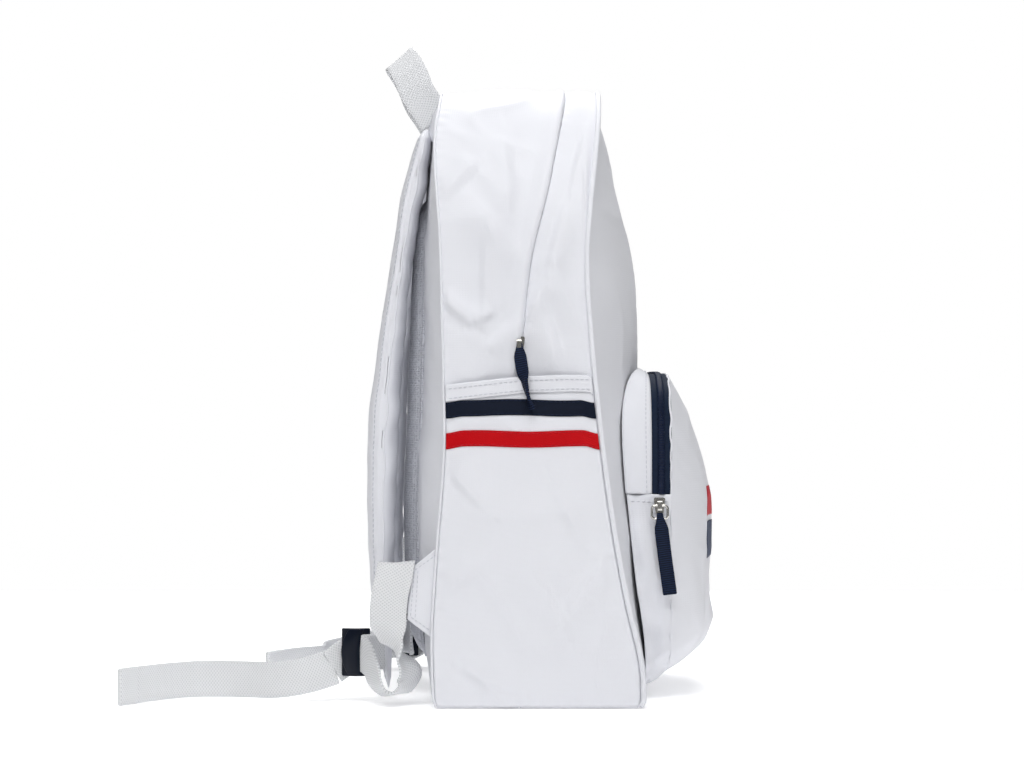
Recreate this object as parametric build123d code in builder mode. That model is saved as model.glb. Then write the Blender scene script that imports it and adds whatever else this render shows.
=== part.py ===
from build123d import *
import os
from math import cos, radians, sin, tan

os.makedirs("parts", exist_ok=True)

# Racket backpack standing on its base.
# Origin: centre of the base on the floor. +Z up, -Y towards the front pocket,
# +Y towards the shoulder straps, -X is the wearer's left. All sizes in millimetres.

# ---- driving dimensions -------------------------------------------------------------
bag_width = 300.0
bag_height = 425.0
top_corner = 110.0        # radius of the rounded shoulders, seen from the front
wall = 2.0                # shell cloth with its lining
gap = 0.4                 # space left between neighbouring pieces
floor_wall = 3.0          # thickness of the bottom panel
reach = 300.0             # outlines are drawn this far out and extruded right through the bag
behind = Plane.XZ.offset(-reach)
beside = Plane.YZ.offset(-reach)

cut_height = 230.0        # height at which the opening front folds forward
seam_foot_y = -88.0       # front seam at the base
seam_cut_y = -51.5        # front seam at the fold
seam_top_y = -59.0        # front seam at the top of the bag
back_foot_y = 53.0        # back seam at the base, at mid height and at the top
back_middle_y = 46.0
back_top_y = 51.0
back_middle_height = 180.0

zip_foot = (-3.0, 228.0)  # main zipper line as (Y, Z): foot, corner and top
zip_knee = (-10.5, 300.0)
zip_crown = (-37.0, 425.0)
zip_clearance = 1.0       # half the space between the two halves of the main zipper
tape_width = 11.0
tape_thickness = 1.2

slip_depth = 5.8          # inside depth of the side slip pockets when empty
slip_wall = 1.4
slip_top = 222.0
slip_foot = 5.0
ribbon_height = 10.8
navy_ribbon_z = 203.0
red_ribbon_z = 182.0
ribbon_thickness = 0.6

front_pocket_half = 115.0
front_pocket_foot = 26.0
front_pocket_top = 228.0
front_pocket_corner = 35.0
front_pocket_wall = 1.6
pocket_zip_foot = 130.0   # the pocket zipper ends at this height on both sides
pocket_tape_y = -96.5     # rear edge of the pocket's zipper tape
pocket_tape_width = 13.5
pocket_front_y = -142.0   # furthest point of the front pocket

pipe_radius = 2.0
strap_inner_x = 44.0
strap_width = 58.0
strap_cover = 1.6
webbing_width = 25.0
webbing_thickness = 1.8

loop_span = 72.0          # haul loop, from leg to leg
loop_height = 54.0
loop_lean = 15.0          # degrees it leans back from upright
loop_foot = (66.0, 408.0)

SIDES = (("left", -1), ("right", 1))


def between(value, low, high, at_low, at_high):
    """Value on the straight line from at_low to at_high."""
    return at_low + (at_high - at_low) * (value - low) / (high - low)


def seam_y(height):
    """Y of the front seam at a height: it leans back, then turns forward above the fold."""
    if height < cut_height:
        return between(height, floor_wall, cut_height, seam_foot_y, seam_cut_y)
    return between(height, cut_height, bag_height, seam_cut_y, seam_top_y)


def back_y(height):
    """Y of the back seam at a height."""
    if height < back_middle_height:
        return between(height, 0, back_middle_height, back_foot_y, back_middle_y)
    return between(height, back_middle_height, bag_height, back_middle_y, back_top_y)


def save(part, label):
    part.label = label
    export_step(part, f"parts/{label}.step")


def bowed_section(height, half, edge_y, middle_y, rear_shift):
    """Strip across the bag at one height: two arcs, rear_shift apart along Y."""
    with BuildSketch(Plane.XY.offset(height)) as section:
        with BuildLine():
            outer = ThreePointArc((-half, edge_y), (0, middle_y), (half, edge_y))
            inner = ThreePointArc(
                (-half, edge_y + rear_shift), (0, middle_y + rear_shift), (half, edge_y + rear_shift)
            )
            Line(outer @ 0, inner @ 0)
            Line(outer @ 1, inner @ 1)
        make_face()
    return section.sketch


def arch_outline(inset):
    """Front outline of the bag as (X, Z), drawn smaller by inset on every side but the base."""
    with BuildSketch() as outline:
        height = bag_height - inset
        with Locations((0, height / 2)):
            Rectangle(bag_width - 2 * inset, height)
        fillet(outline.vertices().group_by(Axis.Y)[-1], top_corner - inset)
    return outline.sketch


def corner_radii(points):
    """Radius at each inner point of a route: 0.45 of the shorter run over tan(half the turn)."""
    radii = []
    corners = [Vector(*point) for point in points]
    for before, corner, after in zip(corners, corners[1:], corners[2:]):
        run_in = corner - before
        run_out = after - corner
        half_turn = radians(run_in.get_angle(run_out)) / 2
        radii.append(0.45 * min(run_in.length, run_out.length) / tan(half_turn))
    return radii


# ---- base ---------------------------------------------------------------------------
with BuildPart() as bottom_panel:
    with BuildSketch():
        with Locations((0, (seam_foot_y + back_foot_y) / 2)):
            Rectangle(bag_width, back_foot_y - seam_foot_y)
    extrude(amount=floor_wall)
    fillet(bottom_panel.edges().filter_by(Axis.Z), radius=12)
save(bottom_panel.part, "bottom_panel")

board_thickness = 3.0
board_margin = 10.0
with BuildPart() as base_board:
    with BuildSketch(Plane.XY.offset(floor_wall + gap)):
        with Locations((0, (seam_foot_y + back_foot_y) / 2)):
            Rectangle(
                bag_width - 2 * board_margin,
                back_foot_y - seam_foot_y - 2.6 * board_margin,
            )
    extrude(amount=board_thickness)
    fillet(base_board.edges().filter_by(Axis.Z), radius=15)
save(base_board.part, "base_board")

# ---- gusset: the band that goes up both sides and over the top ----------------------
gusset_foot = floor_wall + gap
zip_cut_y = between(cut_height, zip_foot[1], zip_knee[1], zip_foot[0], zip_knee[0])
fold_gap = 0.4            # half the slit between the fixed and the folding part

with BuildPart() as gusset_rear:
    with BuildSketch(behind):
        add(arch_outline(0))
        add(arch_outline(wall), mode=Mode.SUBTRACT)
    extrude(amount=2 * reach)
    with BuildSketch(beside):
        Polygon(
            (seam_y(gusset_foot), gusset_foot),
            (seam_y(cut_height - fold_gap), cut_height - fold_gap),
            (zip_cut_y + zip_clearance, cut_height - fold_gap),
            (zip_knee[0] + zip_clearance, zip_knee[1]),
            (zip_crown[0] + zip_clearance, zip_crown[1]),
            (back_y(bag_height), bag_height),
            (back_y(back_middle_height), back_middle_height),
            (back_y(gusset_foot), gusset_foot),
            align=None,
        )
    extrude(amount=2 * reach, mode=Mode.INTERSECT)
save(gusset_rear.part, "gusset_rear")

with BuildPart() as gusset_front:
    with BuildSketch(behind):
        add(arch_outline(0))
        add(arch_outline(wall), mode=Mode.SUBTRACT)
    extrude(amount=2 * reach)
    with BuildSketch(beside):
        Polygon(
            (seam_y(cut_height + fold_gap), cut_height + fold_gap),
            (seam_y(bag_height), bag_height),
            (zip_crown[0] - zip_clearance, zip_crown[1]),
            (zip_knee[0] - zip_clearance, zip_knee[1]),
            (zip_cut_y - zip_clearance, cut_height + fold_gap),
            align=None,
        )
    extrude(amount=2 * reach, mode=Mode.INTERSECT)
save(gusset_front.part, "gusset_front")

# Zipper tapes lie just inside the gusset, one on each side of the zipper line.
for half_name, way in (("rear", 1), ("front", -1)):
    foot_height = cut_height + fold_gap + 1
    with BuildPart() as zip_tape:
        near = way * zip_clearance
        far = way * tape_width
        with BuildSketch(behind):
            add(arch_outline(wall + gap))
            add(arch_outline(wall + gap + tape_thickness), mode=Mode.SUBTRACT)
        extrude(amount=2 * reach)
        with BuildSketch(beside):
            Polygon(
                (zip_cut_y + near, foot_height),
                (zip_knee[0] + near, zip_knee[1]),
                (zip_crown[0] + near, zip_crown[1]),
                (zip_crown[0] + far, zip_crown[1]),
                (zip_knee[0] + far, zip_knee[1]),
                (zip_cut_y + far, foot_height),
                align=None,
            )
        extrude(amount=2 * reach, mode=Mode.INTERSECT)
    save(zip_tape.part, f"main_zip_tape_{half_name}")

# ---- front and back panels ----------------------------------------------------------
panel_half = bag_width / 2 - wall - 1
front_bow = ((5.2, 6), (75, 18), (150, 28), (229.6, 39), (230.4, 39), (290, 34), (345, 22), (395, 8), (424, 3))

with BuildPart() as front_panel_lower:
    for height, bow in front_bow[:4]:
        add(bowed_section(height, panel_half, seam_y(height), seam_y(height) - bow, wall))
    loft()
save(front_panel_lower.part, "front_panel_lower")

with BuildPart() as front_panel_upper:
    for height, bow in front_bow[4:]:
        add(bowed_section(height, panel_half, seam_y(height), seam_y(height) - bow, wall))
    loft()
    with BuildSketch(behind):
        add(arch_outline(wall + gap))
    extrude(amount=2 * reach, mode=Mode.INTERSECT)
save(front_panel_upper.part, "front_panel_upper")

back_bow = ((3.4, 6), (60, 16), (130, 23), (200, 24), (300, 17), (390, 6), (424, 3))
with BuildPart() as back_panel:
    for height, bow in back_bow:
        add(bowed_section(height, panel_half, back_y(height), back_y(height) + bow, -wall))
    loft()
    with BuildSketch(behind):
        add(arch_outline(wall + gap))
    extrude(amount=2 * reach, mode=Mode.INTERSECT)
save(back_panel.part, "back_panel")

# Padded back: a quilted cover with a foam sheet sealed inside, on the outside of the back.
pad_half = 84.0
pad_foot = 26.0
pad_top = 352.0
pad_thickness = 5.0
pad_cover = 1.0
pad_clearance = 1.8
pad_steps = 6


def back_bow_at(height):
    """How far the middle of the back panel stands out from its seams at a height."""
    for (low, low_bow), (high, high_bow) in zip(back_bow, back_bow[1:]):
        if height <= high:
            return between(height, low, high, low_bow, high_bow)
    return back_bow[-1][1]


def pad_section(height, inset):
    """Section of the back pad, following the bowed back panel just outside it."""
    bow = back_bow_at(height)
    edge_share = 1 - (pad_half / panel_half) ** 2
    edge = back_y(height) + edge_share * bow + pad_clearance + inset
    return bowed_section(
        height, pad_half - inset, edge, edge + (1 - edge_share) * bow, pad_thickness - 2 * inset
    )


with BuildPart() as back_pad_foam:
    for step in range(pad_steps + 1):
        height = between(step, 0, pad_steps, pad_foot + pad_cover, pad_top - pad_cover)
        add(pad_section(height, pad_cover))
    loft()
save(back_pad_foam.part, "back_pad_foam")

with BuildPart() as back_pad_cover:
    for step in range(pad_steps + 1):
        add(pad_section(between(step, 0, pad_steps, pad_foot, pad_top), 0))
    loft()
    add(back_pad_foam.part, mode=Mode.SUBTRACT)
save(back_pad_cover.part, "back_pad_cover")

# ---- piping along the front seam -----------------------------------------------------
pipe_x = bag_width / 2 + pipe_radius - 0.8
pipe_stand_off = pipe_radius + gap


def pipe_point(x, height):
    return (x, seam_y(height) - pipe_stand_off, height)


pipe_low = pipe_radius + 0.6
pipe_fold_space = 1.0
with BuildPart() as piping_lower:
    with BuildLine() as pipe_route:
        FilletPolyline(
            pipe_point(-pipe_x, cut_height - pipe_fold_space),
            pipe_point(-pipe_x, pipe_low),
            pipe_point(pipe_x, pipe_low),
            pipe_point(pipe_x, cut_height - pipe_fold_space),
            radius=14,
        )
    with BuildSketch(Plane(origin=pipe_route.line @ 0, z_dir=pipe_route.line % 0)):
        Circle(pipe_radius)
    sweep()
save(piping_lower.part, "piping_lower")

pipe_top = bag_height + pipe_radius - 0.8
with BuildPart() as piping_upper:
    with BuildLine() as pipe_route:
        FilletPolyline(
            pipe_point(-pipe_x, cut_height + pipe_fold_space),
            pipe_point(-pipe_x, pipe_top),
            pipe_point(pipe_x, pipe_top),
            pipe_point(pipe_x, cut_height + pipe_fold_space),
            radius=top_corner + pipe_radius,
        )
    with BuildSketch(Plane(origin=pipe_route.line @ 0, z_dir=pipe_route.line % 0)):
        Circle(pipe_radius)
    sweep()
save(piping_upper.part, "piping_upper")

# ---- side slip pockets with their two ribbons ----------------------------------------
slip_inside_x = bag_width / 2 + gap
slip_front_margin = 5.0
slip_back_margin = 3.0


def slip_outline(edge_inset, foot, top):
    """Slip pocket between the two seams as (Y, Z), smaller by edge_inset."""
    with BuildSketch() as outline:
        Polygon(
            (seam_y(foot) + slip_front_margin + edge_inset, foot),
            (back_y(foot) - slip_back_margin - edge_inset, foot),
            (back_y(top) - slip_back_margin - edge_inset, top),
            (seam_y(top) + slip_front_margin + edge_inset, top),
            align=None,
        )
    return outline.sketch


for side, sign in SIDES:
    with BuildPart() as side_pocket:
        with BuildSketch(Plane.YZ.offset(sign * slip_inside_x)):
            add(slip_outline(0, slip_foot, slip_top))
        extrude(amount=sign * (slip_depth + slip_wall))
        with BuildSketch(Plane.YZ.offset(sign * slip_inside_x)):
            add(slip_outline(slip_wall, slip_foot + slip_wall, slip_top + 1))
        extrude(amount=sign * slip_depth, mode=Mode.SUBTRACT)
    save(side_pocket.part, f"side_pocket_{side}")

    ribbon_x = slip_inside_x + slip_depth + slip_wall + 0.1
    for colour, middle_z in (("navy", navy_ribbon_z), ("red", red_ribbon_z)):
        with BuildPart() as ribbon:
            ribbon_foot = middle_z - ribbon_height / 2
            with BuildSketch(Plane.YZ.offset(sign * ribbon_x)):
                add(slip_outline(0.5, ribbon_foot, ribbon_foot + ribbon_height))
            extrude(amount=sign * ribbon_thickness)
        save(ribbon.part, f"ribbon_{colour}_{side}")

# ---- triangular tabs in the back seam -------------------------------------------------
tab_thickness = 2.4
for side, sign in SIDES:
    with BuildPart() as seam_tab:
        with BuildSketch(Plane.YZ.offset(sign * (bag_width / 2 - wall))):
            Polygon((back_y(110) + gap, 110), (67, 95), (70, 62), (back_y(44) + gap, 44), align=None)
        extrude(amount=sign * tab_thickness)
        fillet(seam_tab.edges().filter_by(Axis.X).group_by(Axis.Y)[-1], radius=3)
    save(seam_tab.part, f"seam_tab_{side}")

# ---- adjusting webbing, from the tab down to the floor and up towards the lock --------
loop_inner_x = 123.0
for side, sign in SIDES:
    loop_points = [(73, 79), (86, 70), (80, 46), (68, 30), (68, 11), (83, 4.5), (96, 14), (99, 34)]
    with BuildPart() as webbing_loop:
        with BuildLine(Plane.YZ.offset(sign * (loop_inner_x + webbing_width / 2))) as loop_route:
            FilletPolyline(*loop_points, radius=corner_radii(loop_points))
        with BuildSketch(Plane(origin=loop_route.line @ 0, x_dir=(1, 0, 0), z_dir=loop_route.line % 0)):
            Rectangle(webbing_width, webbing_thickness)
        sweep()
    save(webbing_loop.part, f"webbing_loop_{side}")

# ---- shoulder straps ------------------------------------------------------------------
strap_outer = [(69, 397), (79, 346), (91, 262), (100, 194), (101, 135), (98, 70), (93, 28), (88, 7)]
strap_inner = [(64, 394), (68, 346), (74, 290), (78, 230), (81, 165), (83.5, 110), (84.5, 50), (84, 8)]


def strap_profile(inset):
    """Padded strap as (Y, Z): two smooth lines, closed at both ends."""
    outer_points = [(y - inset, between(z, 7, 397, 7 + 2 * inset, 397 - 2 * inset)) for y, z in strap_outer]
    inner_points = [(y + inset, between(z, 8, 394, 8 + 2 * inset, 394 - 2 * inset)) for y, z in strap_inner]
    with BuildSketch() as profile:
        with BuildLine():
            outer = Spline(*outer_points)
            inner = Spline(*inner_points)
            Line(outer @ 0, inner @ 0)
            Line(outer @ 1, inner @ 1)
        make_face()
    return profile.sketch


for side, sign in SIDES:
    with BuildPart() as strap_foam:
        with BuildSketch(Plane.YZ.offset(sign * (strap_inner_x + strap_cover))):
            add(strap_profile(strap_cover))
        extrude(amount=sign * (strap_width - 2 * strap_cover))
    save(strap_foam.part, f"strap_foam_{side}")

    with BuildPart() as strap_shell:
        with BuildSketch(Plane.YZ.offset(sign * strap_inner_x)):
            add(strap_profile(0))
        extrude(amount=sign * strap_width)
        add(strap_foam.part, mode=Mode.SUBTRACT)
    save(strap_shell.part, f"strap_cover_{side}")

# Patch that anchors both straps and the haul loop at the top of the back.
patch_half = 88.0
patch_low = 388.0
patch_high = 411.0
patch_rise = 4.0
with BuildPart() as strap_patch:
    for height in (patch_low, patch_high):
        edge = back_y(height) + patch_rise
        add(bowed_section(height, patch_half, edge, edge + 3.4, 1.6))
    loft()
save(strap_patch.part, "strap_patch")

# ---- ladder locks, their sewn tapes and the free webbing tails ------------------------
lock_length = 18.0
lock_height = 33.0
lock_bow = 4.4            # how far the lock's curved back stands out
slot_height = webbing_width + 1.6
slot_width = 3.2
# Where each lock's sewn bar stands and which way the lock points from it, in degrees about +Z.
lock_bars = {"left": (-108.0, 99.5, 34.0), "right": (106.5, 86.5, 25.5)}
lock_headings = {"left": 90.0, "right": -52.0}

for side, sign in SIDES:
    bar = Vector(*lock_bars[side])
    lock_plane = Plane(origin=bar, z_dir=(0, 0, 1)).rotated((0, 0, lock_headings[side]))
    with BuildPart() as ladder_lock:
        with BuildSketch(lock_plane):
            with BuildLine():
                back = ThreePointArc((-1.6, 0), (lock_length / 2, lock_bow), (lock_length, 0))
                ThreePointArc(back @ 1, (lock_length / 2, 0.8), back @ 0)
            make_face()
        extrude(amount=lock_height / 2, both=True)
        rims = ladder_lock.edges().group_by(Axis.Z)
        fillet(rims[0] + rims[-1], radius=0.7)
        with BuildSketch(Plane(origin=bar, x_dir=lock_plane.x_dir, z_dir=lock_plane.y_dir).offset(-lock_bow)):
            with Locations((5.2, 0), (12.2, 0)):
                SlotCenterToCenter(slot_height - slot_width, slot_width, rotation=90)
        extrude(amount=4 * lock_bow, mode=Mode.SUBTRACT)
    save(ladder_lock.part, f"ladder_lock_{side}")

    # Short tape that ties the lock's bar to the strap's lower end.
    tape_start = sign * (strap_inner_x + strap_width + gap)
    tape_reach = 8.5
    with BuildPart() as strap_tape:
        with BuildSketch(Plane.YZ.offset(tape_start)):
            with Locations((bar.Y - 2.4 - tape_reach / 2, bar.Z)):
                Rectangle(tape_reach, webbing_width)
        extrude(amount=bar.X + sign * 1.6 - tape_start)
        fillet(strap_tape.edges().filter_by(Axis.Z), radius=1.0)
    save(strap_tape.part, f"strap_tape_{side}")

# The tails leave the locks and come down to lie on the floor, standing on edge.
tail_z = 13.6
tail_routes = {
    "left": [(-109, 123, 24), (-116, 150, 14.5), (-90, 194, tail_z), (-93, 234, tail_z), (-146, 266, tail_z)],
    "right": [
        (118, 92, 20),
        (112, 114, 14.5),
        (88, 130, tail_z),
        (54, 142, tail_z),
        (20, 136, tail_z),
        (4, 162, tail_z),
        (-30, 176, tail_z),
    ],
}
for side, route in tail_routes.items():
    radii = corner_radii(route)
    print(f"tail {side}: radii", [round(radius, 1) for radius in radii])
    with BuildPart() as webbing_tail:
        with BuildLine() as tail_line:
            FilletPolyline(*route, radius=radii)
        with BuildSketch(Plane(origin=tail_line.line @ 0, x_dir=(0, 0, 1), z_dir=tail_line.line % 0)):
            Rectangle(webbing_width, webbing_thickness)
        sweep()
    length = sum(edge.length for edge in tail_line.edges())
    ratio = webbing_tail.part.volume / (length * webbing_width * webbing_thickness)
    print(f"tail {side}: length {length:.1f}, volume over section x length {ratio:.4f}")
    save(webbing_tail.part, f"webbing_tail_{side}")

# ---- haul loop ------------------------------------------------------------------------
lean = radians(loop_lean)
loop_plane = Plane(
    origin=(0, *loop_foot),
    x_dir=(1, 0, 0),
    z_dir=(0, -cos(lean), sin(lean)),
)
with BuildPart() as haul_loop:
    with BuildLine(loop_plane) as haul_line:
        FilletPolyline(
            (-loop_span / 2, 6),
            (-loop_span / 2, loop_height),
            (loop_span / 2, loop_height),
            (loop_span / 2, 6),
            radius=30,
        )
    with BuildSketch(Plane(origin=haul_line.line @ 0, x_dir=loop_plane.z_dir, z_dir=haul_line.line % 0)):
        Rectangle(webbing_width * 0.8, webbing_thickness)
    sweep()
save(haul_loop.part, "haul_loop")

# ---- front pocket ----------------------------------------------------------------------
pocket_height = front_pocket_top - front_pocket_foot
pocket_middle_z = (front_pocket_top + front_pocket_foot) / 2


def pocket_outline(inset, corner, drop=0.0):
    """Rounded outline of the front pocket as (X, Z)."""
    with BuildSketch() as outline:
        with Locations((0, pocket_middle_z - drop)):
            RectangleRounded(2 * (front_pocket_half - inset), pocket_height - 2 * inset, corner)
    return outline.sketch


def pocket_ring(y, depth, foot, top, outer_inset=0.0, inner_inset=front_pocket_wall):
    """Band of the pocket's side wall from y forward, kept between two heights."""
    with BuildPart() as ring:
        with BuildSketch(Plane.XZ.offset(-y)):
            add(pocket_outline(outer_inset, front_pocket_corner - outer_inset))
            add(pocket_outline(inner_inset, front_pocket_corner - inner_inset), mode=Mode.SUBTRACT)
        extrude(amount=depth)
        with BuildSketch(Plane.XY.offset(foot)):
            Rectangle(2 * reach, 2 * reach)
        extrude(amount=top - foot, mode=Mode.INTERSECT)
    return ring.part


# Space that the bowed front panel takes up, with a little room in front of it.
with BuildPart() as panel_space:
    for height, bow in front_bow[:4]:
        front = seam_y(height) - gap
        add(bowed_section(between(height, 5.2, 229.6, 0, 235), panel_half, front, front - bow, 60))
    loft()

with BuildPart() as pocket_gusset:
    add(pocket_ring(-60, -60 - pocket_tape_y - gap, front_pocket_foot, front_pocket_top))
    add(panel_space.part, mode=Mode.SUBTRACT)
save(pocket_gusset.part, "pocket_gusset")

# The zipper's rear tape stays with the bag, its front tape opens with the pocket's face.
pocket_slit = 0.8
half_tape = (pocket_tape_width - pocket_slit) / 2
for half_name, tape_rear_y in (("rear", pocket_tape_y), ("front", pocket_tape_y - half_tape - pocket_slit)):
    with BuildPart() as pocket_tape:
        add(pocket_ring(tape_rear_y, half_tape, pocket_zip_foot + gap, front_pocket_top))
    save(pocket_tape.part, f"pocket_tape_{half_name}")

with BuildPart() as pocket_gusset_lower:
    add(pocket_ring(pocket_tape_y, pocket_tape_width, front_pocket_foot, pocket_zip_foot))
save(pocket_gusset_lower.part, "pocket_gusset_lower")

dome_y = pocket_tape_y - pocket_tape_width - gap
dome_steps = ((0, dome_y, 0), (9, dome_y - 14, 3), (32, pocket_front_y + 5, 9), (58, pocket_front_y, 12))
with BuildPart() as pocket_dome:
    for inset, y, drop in dome_steps:
        with BuildSketch(Plane.XZ.offset(-y)):
            add(pocket_outline(inset, front_pocket_corner, drop))
    loft()
    for inset, y, drop in dome_steps:
        with BuildSketch(Plane.XZ.offset(-y - front_pocket_wall)):
            add(pocket_outline(inset + front_pocket_wall, front_pocket_corner, drop))
    loft(mode=Mode.SUBTRACT)

for half_name, low, high in (("lower", 0, pocket_zip_foot), ("upper", pocket_zip_foot + gap, bag_height)):
    with BuildPart() as pocket_front:
        add(pocket_dome.part)
        with BuildSketch(Plane.XY.offset(low)):
            Rectangle(2 * reach, 2 * reach)
        extrude(amount=high - low, mode=Mode.INTERSECT)
    save(pocket_front.part, f"pocket_front_{half_name}")

# Coil of the pocket zipper: a thin raised band along the free edge of the rear tape.
coil_width = 3.0
coil_y = pocket_tape_y - half_tape + coil_width / 2
with BuildPart() as pocket_zip_coil:
    add(pocket_ring(coil_y + coil_width / 2, coil_width, pocket_zip_foot + 12, 2 * reach, -1.1, -0.1))
save(pocket_zip_coil.part, "pocket_zip_coil")

# ---- zipper sliders and pulls ----------------------------------------------------------
slider_length = 11.0
slider_width = 8.0
slider_plate = 1.8
bridge_width = 3.0
bridge_rise = 4.6
bar_radius = 0.9


def build_slider(face_x, middle_y, foot_z):
    """Slider on the bag's left face: a tapered plate with an arched bridge over the pull's bar."""
    with BuildPart() as slider:
        with BuildSketch(Plane.YZ.offset(face_x)):
            with BuildLine():
                Polyline(
                    (middle_y - slider_width / 2, foot_z + slider_length),
                    (middle_y + slider_width / 2, foot_z + slider_length),
                    (middle_y + slider_width / 3, foot_z),
                    (middle_y - slider_width / 3, foot_z),
                    close=True,
                )
            make_face()
        extrude(amount=-slider_plate)
        fillet(slider.edges().filter_by(Axis.X), radius=1.2)
        bar_x = face_x - slider_plate - 2.4
        bar_z = foot_z + slider_length / 2
        with BuildSketch(Plane.XZ.offset(-middle_y)):
            with Locations((face_x - slider_plate - bridge_rise / 2, bar_z)):
                Rectangle(bridge_rise + 0.4, slider_length - 3)
        extrude(amount=bridge_width / 2, both=True)
        fillet(slider.edges().filter_by(Axis.Y).group_by(Axis.X)[0], radius=2)
        with BuildSketch(Plane.XZ.offset(-middle_y)):
            with Locations((bar_x, bar_z)):
                Circle(bar_radius + 0.5)
        extrude(amount=slider_width, both=True, mode=Mode.SUBTRACT)
    return slider.part


main_slider_foot = (-bag_width / 2 - gap, -4.8, 240.0)
pocket_slider_foot = (-front_pocket_half - 1.3, coil_y, pocket_zip_foot)

save(build_slider(*main_slider_foot), "main_slider")
save(build_slider(*pocket_slider_foot), "pocket_slider")

# Main pull: a folded tape that hangs from the bridge over the mouth of the slip pocket.
main_bar_x = main_slider_foot[0] - slider_plate - 2.4
main_bar_z = main_slider_foot[2] + slider_length / 2
pull_width = 9.0
pull_x = -160.2
with BuildPart() as main_pull:
    with BuildSketch(Plane.XZ.offset(-main_slider_foot[1])):
        with Locations((main_bar_x, main_bar_z)):
            Circle(bar_radius)
    extrude(amount=pull_width / 2, both=True)
    for shift in (-1, 1):
        # Two arms pass beside the bridge and join below it.
        arm_y = main_slider_foot[1] + shift * (pull_width / 2 - 1.1)
        with BuildSketch(Plane.XZ.offset(-arm_y)):
            with BuildLine():
                Polyline(
                    (main_bar_x - 0.7, main_bar_z),
                    (main_bar_x + 0.7, main_bar_z),
                    (pull_x + 0.8, 231),
                    (pull_x - 0.8, 231),
                    close=True,
                )
            make_face()
        extrude(amount=1.1, both=True)
    with BuildSketch(Plane.YZ.offset(pull_x - 0.8)):
        with Locations((main_slider_foot[1], 217)):
            Rectangle(pull_width, 29)
    extrude(amount=1.6)
save(main_pull.part, "main_pull")

# Pocket pull: a wire ring through the bridge and a tape folded through the ring.
pocket_bar_x = pocket_slider_foot[0] - slider_plate - 2.4
pocket_bar_z = pocket_slider_foot[2] + slider_length / 2
ring_width = 11.0
ring_drop = 9.0
with BuildPart() as pocket_ring_part:
    with BuildLine(Plane.YZ.offset(pocket_bar_x)) as ring_line:
        FilletPolyline(
            (coil_y - ring_width / 2, pocket_bar_z),
            (coil_y + ring_width / 2, pocket_bar_z),
            (coil_y + ring_width / 2, pocket_bar_z - ring_drop),
            (coil_y - ring_width / 2, pocket_bar_z - ring_drop),
            radius=2.4,
            close=True,
        )
    with BuildSketch(Plane(origin=ring_line.line @ 0, z_dir=ring_line.line % 0)):
        Circle(bar_radius)
    sweep()
save(pocket_ring_part.part, "pocket_ring")

pocket_pull_top = pocket_bar_z - ring_drop + 1.7
pocket_pull_length = 54.0
pocket_pull_width = 9.6
with BuildPart() as pocket_pull:
    with BuildSketch(Plane.XZ.offset(-coil_y)):
        with Locations((pocket_bar_x, pocket_pull_top - pocket_pull_length / 2)):
            RectangleRounded(3.4, pocket_pull_length, 1.6)
        with Locations((pocket_bar_x, pocket_pull_top - 1.7)):
            Circle(bar_radius + 0.15, mode=Mode.SUBTRACT)
    extrude(amount=(ring_width - 2 * 2.4) / 2, both=True)
save(pocket_pull.part, "pocket_pull")
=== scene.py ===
import bpy
from math import cos, exp, pi, radians, sin, sqrt
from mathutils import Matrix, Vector, noise


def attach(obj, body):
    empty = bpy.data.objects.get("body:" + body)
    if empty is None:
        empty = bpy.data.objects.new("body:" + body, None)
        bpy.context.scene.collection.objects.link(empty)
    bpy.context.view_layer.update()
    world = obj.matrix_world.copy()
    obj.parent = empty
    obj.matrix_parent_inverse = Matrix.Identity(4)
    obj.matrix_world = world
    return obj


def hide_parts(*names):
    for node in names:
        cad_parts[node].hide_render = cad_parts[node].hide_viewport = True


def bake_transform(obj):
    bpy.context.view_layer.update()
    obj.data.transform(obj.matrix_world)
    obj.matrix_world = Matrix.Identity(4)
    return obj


# A racket backpack of coated white cloth: bowed front and back panels, a gusset with a hidden
# zipper, slip pockets with ribbons, a zipped front pocket, padded straps and flat webbing.
# Metres, +Z up, -Y towards the front pocket, -X is the wearer's left.

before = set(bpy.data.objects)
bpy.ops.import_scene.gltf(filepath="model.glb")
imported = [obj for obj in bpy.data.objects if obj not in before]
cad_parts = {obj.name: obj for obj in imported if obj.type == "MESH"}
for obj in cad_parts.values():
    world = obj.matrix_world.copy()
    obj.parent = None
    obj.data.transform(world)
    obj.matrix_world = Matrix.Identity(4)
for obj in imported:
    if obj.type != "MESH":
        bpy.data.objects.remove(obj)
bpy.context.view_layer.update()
MM = 0.001
# noise_vector starts from the clock unless it is given a seed.
noise.seed_set(3)
# Blends, each from one body to another between two points, for cloth across a hinge: finish_piece does
# not apply them.
BLEND_FLAP = ("bag", "flap", (0, -0.09, 0.214), (0, -0.09, 0.264))
BLEND_POCKET = ("bag", "pocket_flap", (0, -0.12, 0.120), (0, -0.12, 0.152))
SIDES = (("left", -1), ("right", 1))
UP = (0, 0, 1)

bpy.ops.object.select_all(action="DESELECT")

# ---- camera ----
camera_data = bpy.data.cameras.new("camera")
camera = bpy.data.objects.new("camera", camera_data)
bpy.context.scene.collection.objects.link(camera)
camera.location = (-2.0, 0.0, 0.219)
camera.rotation_euler = (radians(90), 0, radians(-90))
camera_data.sensor_width = 36
camera_data.lens = 96.3
camera_data.clip_end = 50
bpy.context.scene.camera = camera


# ---- materials ----
# A wave texture of scale 1 repeats every tenth of pi, so a period of p takes this over p.
WAVE_UNIT = pi / 10


def linear(hex_colour):
    """sRGB hex, such as "#1A2438", as linear colour with alpha."""
    parts = [int(hex_colour[i:i + 2], 16) / 255 for i in (1, 3, 5)]
    return tuple(c / 12.92 if c <= 0.04045 else ((c + 0.055) / 1.055) ** 2.4 for c in parts) + (1.0,)


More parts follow.
